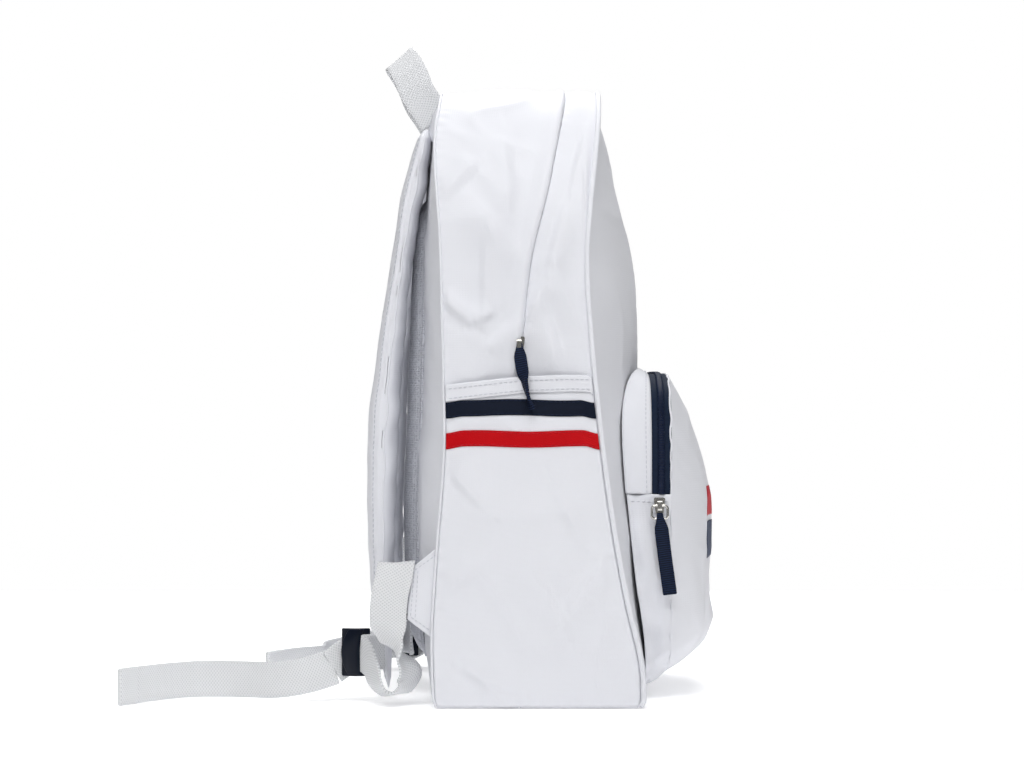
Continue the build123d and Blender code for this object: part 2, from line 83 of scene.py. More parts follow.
def add_node(material, kind, settings=None, links=None):
    """Adds a shader node, sets its fields and sockets, and links its inputs."""
    tree = material.node_tree
    node = tree.nodes.new(kind)
    for key, value in (settings or {}).items():
        if isinstance(key, str) and hasattr(node, key):
            setattr(node, key, value)
        else:
            node.inputs[key].default_value = value
    for key, source in (links or {}).items():
        tree.links.new(source, node.inputs[key])
    return node


def new_material(name, colour, roughness, **sockets):
    """Material with one Principled shader, its plain values set on the shader's own sockets."""
    material = bpy.data.materials.new(name)
    material.use_nodes = True
    shader = material.node_tree.nodes["Principled BSDF"]
    shader.inputs["Base Color"].default_value = linear(colour)
    shader.inputs["Roughness"].default_value = roughness
    shader.inputs["Specular IOR Level"].default_value = 0.12
    for socket, value in sockets.items():
        shader.inputs[socket.replace("_", " ")].default_value = value
    return material, shader


def colour_and_relief(material, shader, colours, tint_by, relief, strength, depth):
    """Mixes two colours by one pattern and raises the surface by another, depth in millimetres. Where
    the pattern is the relief itself, the darker colour in the low parts is painted shade.
    """
    tint = add_node(
        material, "ShaderNodeMix",
        {"data_type": "RGBA", 6: linear(colours[0]), 7: linear(colours[1])}, {0: tint_by},
    )
    bump = add_node(
        material, "ShaderNodeBump", {"Strength": strength, "Distance": depth * MM}, {"Height": relief}
    )
    material.node_tree.links.new(tint.outputs[2], shader.inputs["Base Color"])
    material.node_tree.links.new(bump.outputs["Normal"], shader.inputs["Normal"])
    return material


def woven_cloth(name, colour, shade, thread, roughness, depth):
    """Plain weave: two crossed sets of threads in the piece's own UV, which is in millimetres."""
    material, shader = new_material(name, colour, roughness, Sheen_Weight=0.05)
    uv = add_node(material, "ShaderNodeTexCoord").outputs["UV"]
    place = add_node(material, "ShaderNodeTexCoord").outputs["Object"]
    waves = []
    for direction in ("X", "Y"):
        waves.append(add_node(
            material, "ShaderNodeTexWave",
            {"bands_direction": direction, "Scale": WAVE_UNIT / (2 * thread),
             "Distortion": 0.6, "Detail": 1.0},
            {"Vector": uv},
        ).outputs["Fac"])
    weave = add_node(
        material, "ShaderNodeMath", {"operation": "MULTIPLY"}, {0: waves[0], 1: waves[1]}
    )
    cloud = add_node(
        material, "ShaderNodeTexNoise", {"Scale": 9.0, "Detail": 4.0}, {"Vector": place}
    ).outputs["Fac"]
    return colour_and_relief(material, shader, (shade, colour), cloud, weave.outputs[0], 0.5, depth)


def ribbed_tape(name, colour, shade, rib, roughness, depth, slant=0.0):
    """Narrow woven tape: ribs across it, or twill lines when slant is given, in UV millimetres. The
    grooves between the ribs take the darker shade colour: painted shade.
    """
    material, shader = new_material(name, colour, roughness)
    uv = add_node(material, "ShaderNodeTexCoord").outputs["UV"]
    turned = add_node(
        material, "ShaderNodeMapping", {"Rotation": (0, 0, slant)}, {"Vector": uv}
    ).outputs["Vector"]
    ribs = add_node(
        material, "ShaderNodeTexWave",
        {"bands_direction": "Y", "Scale": WAVE_UNIT / rib, "Distortion": 0.8, "Detail": 1.5},
        {"Vector": turned},
    ).outputs["Fac"]
    return colour_and_relief(material, shader, (shade, colour), ribs, ribs, 0.8, depth)


def honeycomb_webbing(name, colour, shade, pitch, slant, depth):
    """Webbing with small pits where two slanting sets of threads cross, pitch millimetres apart. The
    pits take the darker shade colour: painted shade.
    """
    material, shader = new_material(name, colour, 0.75)
    uv = add_node(material, "ShaderNodeTexCoord").outputs["UV"]
    slants = []
    for angle in (slant, -slant):
        turned = add_node(
            material, "ShaderNodeMapping", {"Rotation": (0, 0, angle)}, {"Vector": uv}
        ).outputs["Vector"]
        slants.append(add_node(
            material, "ShaderNodeTexWave",
            {"bands_direction": "X", "Scale": WAVE_UNIT / pitch, "Distortion": 0.4},
            {"Vector": turned},
        ).outputs["Fac"])
    rise = add_node(
        material, "ShaderNodeMath", {"operation": "MAXIMUM"}, {0: slants[0], 1: slants[1]}
    ).outputs[0]
    return colour_and_relief(material, shader, (shade, colour), rise, rise, 0.6, depth)


def spacer_mesh(name, colour, shade, density, depth):
    """Knitted spacer mesh: round holes, density of them in each millimetre. The holes take the darker
    shade colour: painted shade.
    """
    material, shader = new_material(name, colour, 0.85)
    uv = add_node(material, "ShaderNodeTexCoord").outputs["UV"]
    holes = add_node(
        material, "ShaderNodeTexVoronoi", {"Scale": density, "Randomness": 0.35}, {"Vector": uv}
    ).outputs["Distance"]
    open_part = add_node(
        material, "ShaderNodeMapRange", {"From Min": 0.22, "From Max": 0.42}, {"Value": holes}
    ).outputs["Result"]
    return colour_and_relief(material, shader, (shade, colour), open_part, open_part, 0.8, depth)


def moulded(name, colour, roughness, grain, depth, **sockets):
    """Moulded or plated hard part with a faint surface grain."""
    material, shader = new_material(name, colour, roughness, **sockets)
    place = add_node(material, "ShaderNodeTexCoord").outputs["Object"]
    speckle = add_node(
        material, "ShaderNodeTexNoise", {"Scale": 1 / (grain * MM), "Detail": 2.0}, {"Vector": place}
    ).outputs["Fac"]
    bump = add_node(
        material, "ShaderNodeBump", {"Strength": 0.25, "Distance": depth * MM}, {"Height": speckle}
    )
    material.node_tree.links.new(bump.outputs["Normal"], shader.inputs["Normal"])
    return material


# Coated polyester: smooth, cool white, very fine threads drawn at 0.8 mm so that they show.
shell_cloth = woven_cloth("coated polyester", "#E3E4E9", "#DCDDE3", 0.8, 0.55, 0.10)
# Sewing thread: bonded polyester, a little glossier than the cloth. Its white is painted greyer than
# the cloth as painted shade, so the stitches show as grey dashes.
white_thread_painted_shade = moulded("white sewing thread, painted grey shade", "#C9CBD2", 0.45, 0.4, 0.05)
navy_thread = moulded("navy sewing thread", "#1B2740", 0.45, 0.4, 0.05)
# Webbing: its pits are painted in the second, darker colour, painted shade.
webbing_cloth = honeycomb_webbing(
    "polyester webbing", "#E1E2E4", "#C3C5C8", 1.7, radians(52), 0.25
)
# Tapes: the grooves between their ribs are painted in the second, darker colour, painted shade.
navy_ribbon = ribbed_tape("navy grosgrain", "#101B30", "#070D1A", 0.8, 0.62, 0.25)
red_ribbon = ribbed_tape("red twill tape", "#D2000F", "#AC0009", 1.0, 0.60, 0.25, radians(32))
navy_tape = ribbed_tape("navy herringbone tape", "#1A2743", "#060B18", 1.5, 0.65, 0.35)
zip_tape = ribbed_tape("navy zipper tape", "#1C2A42", "#0B1322", 1.3, 0.7, 0.2, radians(90))
zip_coil = moulded("nylon zipper coil", "#16213A", 0.35, 0.5, 0.03)
# Spacer mesh painted greyer than the shell cloth, as painted shade of the shaded back. Holes about 1.6
# mm apart.
pad_mesh_painted_shade = spacer_mesh("grey spacer mesh, painted shade", "#CDCFD6", "#B9BBC4", 0.62, 0.5)
print_navy = moulded("navy screen print", "#39445E", 0.42, 0.8, 0.03)
print_red = moulded("red screen print", "#C2303C", 0.42, 0.8, 0.03)
# Acetal locks: dark, nearly black, with a soft gloss.
lock_plastic = moulded("moulded acetal", "#070F1E", 0.28, 1.2, 0.02, Specular_IOR_Level=0.2)
nickel = moulded("nickel plate", "#C9C7C2", 0.18, 0.9, 0.01, Metallic=1.0)
board = moulded("polyethylene board", "#2A2B2E", 0.5, 1.5, 0.1)


# ---- curves and surfaces ----
def smooth_line(*points):
    """Function through (position, value) points, smooth and without overshoot at the ends."""
    points = sorted(points)

    def slope(i):
        low = points[max(i - 1, 0)]
        high = points[min(i + 1, len(points) - 1)]
        return (high[1] - low[1]) / (high[0] - low[0])

    def value(position):
        position = min(max(position, points[0][0]), points[-1][0])
        i = 0
        while i < len(points) - 2 and position > points[i + 1][0]:
            i += 1
        (x0, y0), (x1, y1) = points[i], points[i + 1]
        step = x1 - x0
        t = (position - x0) / step
        h00 = (1 + 2 * t) * (1 - t) ** 2
        h10 = t * (1 - t) ** 2
        h01 = t * t * (3 - 2 * t)
        h11 = t * t * (t - 1)
        return h00 * y0 + h10 * step * slope(i) + h01 * y1 + h11 * step * slope(i + 1)

    return value


def mix(low, high, share):
    return low + (high - low) * share


def ramp(value, low, high):
    """Smooth step from 0 at low to 1 at high."""
    t = min(max((value - low) / (high - low), 0), 1)
    return t * t * (3 - 2 * t)


# Heights in millimetres to Y in millimetres.
front_seam = smooth_line(
    (0, -85.0), (3, -87.6), (9, -88.3), (32, -86.5), (73, -77), (131, -66.8), (195, -58.5),
    (255, -52.6), (303, -50), (343, -52.6), (400, -58.7), (427, -60),
)
back_seam = smooth_line(
    (0, 50.5), (4, 52.4), (10, 53), (49, 54), (100, 51), (176, 45.5), (221, 46), (257, 46.8),
    (319, 48.6), (365, 52), (393, 52.5), (411, 50.6), (427, 49),
)
zip_line = smooth_line(
    (0, -4.5), (228, -4.5), (257, -6), (287, -8.8), (312, -12.8), (347, -21.6), (384, -29),
    (413, -34.5), (427, -36),
)
front_middle = smooth_line(
    (0, -92), (30, -95), (100, -92), (180, -90), (229, -90.5), (260, -90), (298, -87.5),
    (339, -80.3), (369, -73.4), (390, -68.6), (407, -63.5), (427, -60),
)
back_middle = smooth_line(
    (0, 56), (60, 67), (130, 70.5), (200, 68), (300, 64), (390, 56), (427, 49)
)
# How square a panel's bow is across the bag: 2 is a parabola.
BOW_POWER = 2.5

HALF_WIDTH = 150.0
HEIGHT = 425.0
CORNER = 110.0
SIDE_RUN = HEIGHT - CORNER
CORNER_RUN = CORNER * pi / 2
TOP_RUN = 2 * (HALF_WIDTH - CORNER)
ARCH_RUN = 2 * SIDE_RUN + 2 * CORNER_RUN + TOP_RUN


def arch(run):
    """Point (x, z) and outward direction on the front outline, run millimetres from the left foot."""
    if run <= SIDE_RUN:
        return (-HALF_WIDTH, run), (-1, 0)
    if run <= SIDE_RUN + CORNER_RUN:
        turn = (run - SIDE_RUN) / CORNER
        out = (-cos(turn), sin(turn))
        return (-HALF_WIDTH + CORNER + CORNER * out[0], SIDE_RUN + CORNER * out[1]), out
    if run <= ARCH_RUN / 2:
        return (-HALF_WIDTH + CORNER + run - SIDE_RUN - CORNER_RUN, HEIGHT), (0, 1)
    (x, z), (out_x, out_z) = arch(ARCH_RUN - run)
    return (-x, z), (-out_x, out_z)


def half_width(height):
    """Half of the front outline's width at a height."""
    if height <= SIDE_RUN:
        return HALF_WIDTH
    rise = min(height - SIDE_RUN, CORNER)
    return HALF_WIDTH - CORNER + sqrt(CORNER ** 2 - rise ** 2)


def bowed(seam, middle, x, z):
    """Y of a bowed panel, from its seam line to its middle line."""
    share = min(abs(x) / half_width(z), 1)
    return mix(seam(z), middle(z), 1 - share ** BOW_POWER)


def rumple(point, size, height, seed=0.0):
    """Soft uneven hollows and folds of cloth: size is their length, height their depth."""
    q = Vector(point) / size + Vector((seed, seed * 1.7, -seed))
    folds = 1 - 2 * abs(noise.noise(q + 0.4 * noise.noise_vector(q * 0.7)))
    soft = noise.noise(q * 0.55 + Vector((9, 4, 2)))
    return height * (0.55 * folds * abs(folds) + 0.9 * soft - 0.25)


def crease(across, height, lines):
    """Raised soft folds along lines (y0, z0, y1, z1, depth, width) of a side panel, in millimetres."""
    total = 0.0
    for y0, z0, y1, z1, depth, width in lines:
        run = Vector((y1 - y0, z1 - z0))
        here = Vector((across - y0, height - z0))
        t = min(max(here.dot(run) / run.length_squared, 0), 1)
        off = here - run * t
        side = run.x * here.y - run.y * here.x
        spread = width * (0.55 if side > 0 else 1.5)
        strength = sin(pi * min(max(t, 0.06), 0.94)) ** 0.6
        total += 2.6 * depth * strength * exp(-(off.length / spread) ** 2)
    return total


def pucker(along, off_seam, depth=0.7, reach=11.0, pitch=8.0):
    """Small gathers that stand across a seam and die out within reach millimetres of it."""
    uneven = along / pitch + 1.3 * noise.noise(Vector((along / 37.0, off_seam / 50.0, 3.1)))
    patchy = 0.6 + 0.8 * noise.noise(Vector((along / 23.0, 7.7, 0)))
    return depth * patchy * max(0.0, 1 - off_seam / reach) ** 1.5 * sin(2 * pi * uneven)


# ---- building helpers ----
def finish_piece(piece, material, slot_name, rides, *stands_for):
    """Gives a piece its material, hides the CAD nodes it replaces, and attaches it to the body it
    rides on.

    rides is a body's name, or a blend's bodies and points; a blend's bodies and points are not used,
    and the piece only has its transform baked.
    """
    piece.data.materials.clear()
    piece.data.materials.append(material)
    piece.data.shade_smooth()
    if stands_for:
        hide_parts(*stands_for)
    if isinstance(rides, str):
        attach(piece, rides)
    else:
        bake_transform(piece)


def select_only(piece):
    bpy.ops.object.select_all(action="DESELECT")
    piece.select_set(True)
    bpy.context.view_layer.objects.active = piece


def edit_mesh(piece, *steps):
    """Runs edit-mode steps on a piece, starting with all of it selected."""
    select_only(piece)
    bpy.ops.object.mode_set(mode="EDIT")
    bpy.ops.mesh.select_all(action="SELECT")
    for step in steps:
        step()
    bpy.ops.object.mode_set(mode="OBJECT")


def apply_modifier(piece, kind, **settings):
    select_only(piece)
    modifier = piece.modifiers.new(kind.lower(), kind)
    for key, value in settings.items():
        setattr(modifier, key, value)
    bpy.ops.object.modifier_apply(modifier=modifier.name)


def lay_cloth(name, columns, rows, place, size, thickness=0.0, outward=None, offset=-1.0):
    """Adds a grid, lays it on the surface place(u, v) in millimetres, and gives it its thickness.

    size is the cloth's width and length in millimetres, for the weave. outward is a point in
    millimetres that the cloth faces away from.
    """
    bpy.ops.object.select_all(action="DESELECT")
    bpy.ops.mesh.primitive_grid_add(x_subdivisions=columns, y_subdivisions=rows, size=1)
    piece = bpy.context.object
    piece.name = name
    for vertex in piece.data.vertices:
        vertex.co = Vector(place(vertex.co.x + 0.5, vertex.co.y + 0.5)) * MM
    for corner in piece.data.uv_layers.active.data:
        corner.uv = (corner.uv[0] * size[0], corner.uv[1] * size[1])
    if outward is not None:
        centre = Vector(outward) * MM
        faces = piece.data.polygons
        if sum(face.normal.dot(face.center - centre) * face.area for face in faces) < 0:
            piece.data.flip_normals()
    if thickness:
        apply_modifier(
            piece, "SOLIDIFY", thickness=thickness * MM, offset=offset, use_even_offset=False
        )
    return piece


def route_line(points):
    """Points along the smooth line of a route given in metres."""
    curve = bpy.data.curves.new("route", "CURVE")
    curve.dimensions = "3D"
    spline = curve.splines.new("NURBS")
    spline.points.add(len(points) - 1)
    for point, place in zip(spline.points, points):
        point.co = (*place, 1)
    spline.order_u = 3
    spline.use_endpoint_u = True
    curve.resolution_u = 24
    guide = bpy.data.objects.new("route", curve)
    bpy.context.scene.collection.objects.link(guide)
    bpy.context.view_layer.update()
    solved = guide.evaluated_get(bpy.context.evaluated_depsgraph_get())
    mesh = bpy.data.meshes.new_from_object(solved)
    line = [vertex.co.copy() for vertex in mesh.vertices]
    bpy.data.objects.remove(guide)
    bpy.data.curves.remove(curve)
    bpy.data.meshes.remove(mesh)
    return line


class Track:
    """A line that can be read at any share of its length."""

    def __init__(self, points):
        self.points = points
        self.lengths = [0.0]
        for a, b in zip(points, points[1:]):
            self.lengths.append(self.lengths[-1] + (b - a).length)
        self.length = self.lengths[-1]

    def at(self, share):
        want = min(max(share, 0), 1) * self.length
        i = 0
        while i < len(self.lengths) - 2 and self.lengths[i + 1] < want:
            i += 1
        span = self.lengths[i + 1] - self.lengths[i] or 1e-9
        return self.points[i].lerp(self.points[i + 1], (want - self.lengths[i]) / span)

    def along(self, share):
        """Direction of the line at a share of its length."""
        step = 0.005
        return (self.at(share + step) - self.at(share - step)).normalized()


def side_at(sides, route, share):
    """Smoothly turning side direction: one for each point of the band's route."""
    spans = [(Vector(b) - Vector(a)).length for a, b in zip(route, route[1:])]
    want = min(max(share, 0), 1) * sum(spans)
    i = 0
    while i < len(spans) - 1 and want > spans[i]:
        want -= spans[i]
        i += 1
    return Vector(sides[i]).lerp(Vector(sides[i + 1]), ramp(want, 0, spans[i])).normalized()


BAND_ROW = 2.2


def lay_band(name, route, sides, width, thickness, smooth=True, wave=0.0, crown=0.0, taper=None):
    """Flat band of webbing or tape along a route in metres, width and thickness in millimetres.

    wave and crown lift it unevenly and along its middle, and taper(share) narrows it.
    """
    track = Track(route_line(route) if smooth else [Vector(p) for p in route])
    rows = max(8, int(track.length / MM / BAND_ROW))

    def place(u, v):
        middle = track.at(v)
        ahead = track.along(v)
        side = side_at(sides, route, v)
        side = (side - ahead * side.dot(ahead)).normalized()
        out = side.cross(ahead)
        across = (u - 0.5) * width * (taper(v) if taper else 1.0)
        lift = wave * noise.noise(Vector((v * track.length / MM / 28, u * 0.8, 2.2)))
        lift -= crown * (2 * u - 1) ** 2
        return (middle + side * across * MM + out * lift * MM) / MM

    piece = lay_cloth(name, 8, rows, place, (width, track.length / MM), thickness, offset=0.0)
    apply_modifier(piece, "BEVEL", width=0.25 * thickness * MM, segments=1, limit_method="ANGLE")
    return piece, track


def lay_tube(name, points, radius, sides=10):
    """Round cord or piping through points in metres, its radius in millimetres."""
    curve = bpy.data.curves.new(name, "CURVE")
    curve.dimensions = "3D"
    spline = curve.splines.new("POLY")
    spline.points.add(len(points) - 1)
    for point, place in zip(spline.points, points):
        point.co = (*place, 1)
    curve.bevel_depth = radius * MM
    curve.bevel_resolution = sides // 2 - 2
    curve.use_fill_caps = True
    guide = bpy.data.objects.new(name, curve)
    bpy.context.scene.collection.objects.link(guide)
    select_only(guide)
    bpy.ops.object.convert(target="MESH")
    piece = bpy.context.object
    piece.name = name
    return piece


def add_bar(corners, faces, rings, sides):
    """Adds one closed bar. Each ring is its middle and two half axes, in millimetres."""
    first = len(corners)
    for middle, half_a, half_b in rings:
        for turn in range(sides):
            angle = 2 * pi * turn / sides
            corners.append((middle + half_a * cos(angle) + half_b * sin(angle)) * MM)
    last = len(corners) - sides
    for low in range(first, last, sides):
        for turn in range(sides):
            a, b = low + turn, low + (turn + 1) % sides
            faces.append((a, b, b + sides, a + sides))
    faces.append(tuple(reversed(range(first, first + sides))))
    faces.append(tuple(range(last, last + sides)))


def bars_piece(name, corners, faces):
    """Piece made of many small bars, with their faces turned outwards."""
    mesh = bpy.data.meshes.new(name)
    mesh.from_pydata(corners, [], faces)
    piece = bpy.data.objects.new(name, mesh)
    bpy.context.scene.collection.objects.link(piece)
    edit_mesh(piece, bpy.ops.mesh.normals_make_consistent)
    return piece


# A stitch's rings: place along it, swell, and how far it stands out of the cloth, in its own
# length, radius and width.
STITCH_RINGS = ((-0.5, 0.35, -0.25), (-0.25, 1, 0.12), (0.25, 1, 0.12), (0.5, 0.35, -0.25))


def sew(name, rows, material, rides, slot_name, pitch=3.4, length=2.5, radius=0.3):
    """Stitch rows: each row is (points, outward directions) in millimetres, on one surface."""
    corners = []
    faces = []
    for points, normals in rows:
        track = Track([Vector(p) for p in points])
        count = max(1, int(track.length / pitch))
        for i in range(count):
            share = (i + 0.5) / count
            middle = track.at(share)
            ahead = track.along(share)
            place = share * (len(normals) - 1)
            j = min(int(place), len(normals) - 2)
            out = Vector(normals[j]).lerp(Vector(normals[j + 1]), place - j).normalized()
            side = out.cross(ahead).normalized()
            rings = [(
                middle + ahead * end * length + out * sink * radius * 2,
                side * radius * swell, out * radius * swell,
            ) for end, swell, sink in STITCH_RINGS]
            add_bar(corners, faces, rings, 5)
    finish_piece(bars_piece(name, corners, faces), material, slot_name, rides)


def slopes(place, u, v, step_u, step_v):
    """Directions in which a surface place(u, v) runs along u and along v."""
    along_u = Vector(place(min(u + step_u, 1), v)) - Vector(place(max(u - step_u, 0), v))
    along_v = Vector(place(u, min(v + step_v, 1))) - Vector(place(u, max(v - step_v, 0)))
    return along_u.normalized(), along_v.normalized()


def seam_row(place, line, lift, outward):
    """A stitch row for sew(): follows (u, v) points on a surface place(u, v)."""
    points = []
    normals = []
    steps = 60
    track = Track([Vector((u, v, 0)) for u, v in line])
    for i in range(steps + 1):
        u, v, _ = track.at(i / steps)
        here = Vector(place(u, v))
        across, up = slopes(place, u, v, 0.004, 0.004)
        out = across.cross(up).normalized()
        if out.dot(here - Vector(outward)) < 0:
            out = -out
        points.append(here + out * lift)
        normals.append(out)
    return points, normals


# ---- free webbing tails ----
WEBBING = 25.0
WEBBING_THICK = 1.7
TAIL_HEM = 19.0
# Middle of a tail that stands on its edge, in metres.
TAIL_Z = 0.0136
tail_routes = {
    "left": [(-0.109, 0.123, 0.024), (-0.116, 0.150, 0.0145), (-0.090, 0.194, TAIL_Z),
             (-0.093, 0.234, TAIL_Z), (-0.146, 0.266, TAIL_Z)],
    "right": [(0.118, 0.092, 0.020), (0.112, 0.114, 0.0145), (0.088, 0.130, TAIL_Z),
              (0.054, 0.142, TAIL_Z), (0.020, 0.136, TAIL_Z), (0.004, 0.162, TAIL_Z),
              (-0.030, 0.176, TAIL_Z)],
}
# Where along Y each tail goes from the strap to the floor: a blend's points, which finish_piece does
# not apply.
tail_blend_ends = {"left": (0.125, 0.215), "right": (0.100, 0.165)}
for side, sign in SIDES:
    route = tail_routes[side]
    upright = [(0.06, 0.05, 1)] + [UP] * (len(route) - 1)
    tail, track = lay_band(f"tail_webbing_{side}", route, upright, WEBBING, WEBBING_THICK, wave=0.6)
    near, far = tail_blend_ends[side]
    settling = (f"strap_{side}", "bag", (0, near, 0.02), (0, far, 0.02))
    finish_piece(tail, webbing_cloth, "webbing", settling, f"webbing_tail_{side}")
    fold = 1 - TAIL_HEM * MM / track.length
    hem_points = [track.at(mix(fold, 1.0, i / 12)) for i in range(13)]
    hem_fold, _ = lay_band(
        f"tail_hem_{side}", hem_points, [UP] * 13, WEBBING + 0.3, 3.6, smooth=False
    )
    finish_piece(hem_fold, webbing_cloth, "webbing", "bag")
    [tuple(track.at(i / 60)) for i in range(61)]


# ---- shell: gussets, front and back panels, base ----
def gusset_place(start_line, end_line, lift, folds, seed, lines):
    """Surface round the arch between two lines of the outline, in millimetres."""
    def place(u, v):
        (x, z), (out_x, out_z) = arch(u * ARCH_RUN)
        y = mix(start_line(z), end_line(z), v)
        across = abs(end_line(z) - start_line(z))
        edge = min(v, 1 - v) * across
        off = folds * rumple((x, y, z), 46, 4.2, seed) * ramp(edge, 0, 22)
        off += crease(y, z, lines) * ramp(edge, 0, 5)
        off += pucker(u * ARCH_RUN, (1 - v) * across, 0.6) + lift(v * across, z)
        off += 3.0 * ramp(z, 385, 424) * sin(pi * v)
        off *= 0.35 + 0.65 * ramp(z, 200, 250)
        return x + out_x * off, y, z + out_z * off
    return place


def fold_lift(off_zip, height):
    """The rear gusset rolls up over the zipper: raised at its free edge, then settling."""
    roll = 2.6 * (1 - ramp(off_zip, 3, 14)) - 2.9 * (1 - ramp(off_zip, 0, 2.4))
    return roll * ramp(height, 200, 232) + 0.5


def zip_line_rear(z):
    return zip_line(z) - 2.5 * ramp(z, 228, 262)


def flat_lift(off_seam, height):
    return 0.2 - 0.5 * ramp(height, 200, 240) * ramp(off_seam, 4, 30)


# Folds for crease().
REAR_FOLDS = [
    (50, 279, 27, 261, 1.8, 5), (27, 261, 12, 268, 1.4, 5), (17, 318, 18, 258, 1.2, 6),
    (-8, 300, 30, 345, 1.2, 9), (48, 345, 22, 372, 1.5, 7), (-4, 262, 18, 240, 1.4, 6),
    (2, 330, 6, 392, 1.1, 8),
]
FRONT_FOLDS = [
    (-50, 368, -50, 313, 1.8, 3.0), (-37, 343, -25, 293, 1.6, 6), (-25, 293, -9, 258, 1.5, 6),
    (-32, 224, -22, 268, 1.6, 7), (-46, 250, -30, 300, 1.0, 7), (-52, 395, -40, 350, 1.2, 5),
]
SHELL_THICK = 1.2
rear_place = gusset_place(zip_line_rear, back_seam, fold_lift, 1.0, 0.0, REAR_FOLDS)
rear_gusset = lay_cloth(
    "gusset_rear_cloth", 420, 46, rear_place, (ARCH_RUN, 90), SHELL_THICK, (0, 0, 150)
)
finish_piece(rear_gusset, shell_cloth, "shell_cloth", "bag", "gusset_rear")


def zip_line_front(z):
    return zip_line(z) - 0.6


front_place = gusset_place(front_seam, zip_line_front, flat_lift, 0.6, 5.0, FRONT_FOLDS)
front_gusset = lay_cloth(
    "gusset_front_cloth", 420, 26, front_place, (ARCH_RUN, 45), SHELL_THICK, (0, -60, 150)
)
finish_piece(front_gusset, shell_cloth, "shell_cloth", BLEND_FLAP, "gusset_front")


def panel_place(seam, middle, seed, folds, side):
    """Bowed panel inside the arch outline, seam to middle, in millimetres."""
    def place(u, v):
        z = 1.5 + v * (HEIGHT - 2.0)
        across = 2 * u - 1
        half = half_width(z) - 0.3
        x = across * half
        bow = 1 - abs(across) ** BOW_POWER
        y = mix(seam(z), middle(z), bow)
        inside = min((1 - abs(across)) * half, HEIGHT - z)
        calm = ramp(inside, 0, 30)
        off = folds * rumple((x, 0, z), 60, 3.4, seed) * calm
        off += pucker(z, (1 - abs(across)) * half, 0.7)
        return x, y + side * off, z
    return place


PANEL_SIZE = (300, 440)
BAG_MIDDLE = (0, 0, 200)
front_panel_place = panel_place(front_seam, front_middle, 2.0, 0.8, -1)
front_panel = lay_cloth(
    "front_panel_cloth", 120, 170, front_panel_place, PANEL_SIZE, SHELL_THICK, BAG_MIDDLE
)
finish_piece(
    front_panel, shell_cloth, "shell_cloth", BLEND_FLAP, "front_panel_lower", "front_panel_upper"
)

back_panel_place = panel_place(back_seam, back_middle, 7.0, 0.7, 1)
back_panel = lay_cloth(
    "back_panel_cloth", 120, 170, back_panel_place, PANEL_SIZE, SHELL_THICK, BAG_MIDDLE
)
finish_piece(back_panel, shell_cloth, "shell_cloth", "bag", "back_panel")


def base_place(u, v):
    across = 2 * u - 1
    bow = 1 - abs(across) ** BOW_POWER
    y = mix(front_seam(2) - 3.5 * bow, back_seam(2) + 3.0 * bow, v)
    sag = ramp(min(1 - abs(across), 1 - abs(2 * v - 1)), 0, 0.12)
    z = 2.2 - 1.0 * sag + 0.25 * noise.noise(Vector((across * 4, v * 3, 0)))
    return across * (HALF_WIDTH - 0.3), y, z


base_cloth = lay_cloth("base_cloth", 90, 45, base_place, (300, 145), 1.1, (0, -18, 100))
finish_piece(base_cloth, shell_cloth, "shell_cloth", "bag", "bottom_panel")


# ---- piping ----
PIPE = 1.9
# The piping's ends stay this far above the floor.
PIPE_FOOT = 1.4
PIPE_STEPS = 330


def seam_cord(name, seam, off, shift, radius, sides):
    """Cord round the arch on a seam line, off outwards and shift along Y, in millimetres."""
    line = []
    for i in range(PIPE_STEPS + 1):
        run = PIPE_FOOT + (ARCH_RUN - 2 * PIPE_FOOT) * i / PIPE_STEPS
        (x, z), (out_x, out_z) = arch(run)
        line.append(Vector((x + out_x * off, seam(z) + shift, z + out_z * off)) * MM)
    return lay_tube(name, line, radius, sides)


piping = seam_cord("piping_arch", front_seam, 0.9, -0.8, PIPE, 10)
finish_piece(piping, shell_cloth, "piping", BLEND_FLAP, "piping_upper", "piping_lower")
base_edge = [
    Vector((x, front_seam(2) - 0.8 - 4.0 * (1 - abs(x / HALF_WIDTH) ** BOW_POWER), 1.95)) * MM
    for x in range(-150, 151, 5)
]
foot_piping = lay_tube("piping_base", base_edge, PIPE)
finish_piece(foot_piping, shell_cloth, "piping", "bag")

# The back seam is turned in without piping: a narrow raised lip of folded cloth.
back_seam_lip = seam_cord("back_seam_lip", back_seam, 0.5, 0.3, 1.0, 8)
finish_piece(back_seam_lip, shell_cloth, "shell_cloth", "bag")

# ---- main zipper, under the fold ----
ZIP_FOOT = 228.0
ZIP_RUN = ARCH_RUN - 2 * ZIP_FOOT


def zip_place(near, far, sink):
    """Zipper tape just inside the gusset, near and far in millimetres from the zipper's line."""
    def place(u, v):
        (x, z), (out_x, out_z) = arch(ZIP_FOOT + u * ZIP_RUN)
        return x - out_x * sink, zip_line(z) + mix(near, far, v), z - out_z * sink
    return place


# A tooth's rings: place along it and swell, in its own length and width.
TOOTH_RINGS = ((-0.5, 0.5), (-0.3, 1), (0.3, 1), (0.5, 0.5))


def lay_teeth(name, place, count, row, size, rides, *stands_for):
    """Coil teeth: small bars that stand across a tape on the line v = row."""
    corners = []
    faces = []
    length, width, height = size
    for i in range(count):
        u = (i + 0.5) / count
        ahead, across = slopes(place, u, row, 0.002, 0.05)
        out = ahead.cross(across).normalized()
        rings = [(
            Vector(place(u, row)) + across * end * length,
            ahead * width / 2 * swell, out * height / 2 * swell,
        ) for end, swell in TOOTH_RINGS]
        add_bar(corners, faces, rings, 6)
    finish_piece(bars_piece(name, corners, faces), zip_coil, "zip_coil", rides, *stands_for)


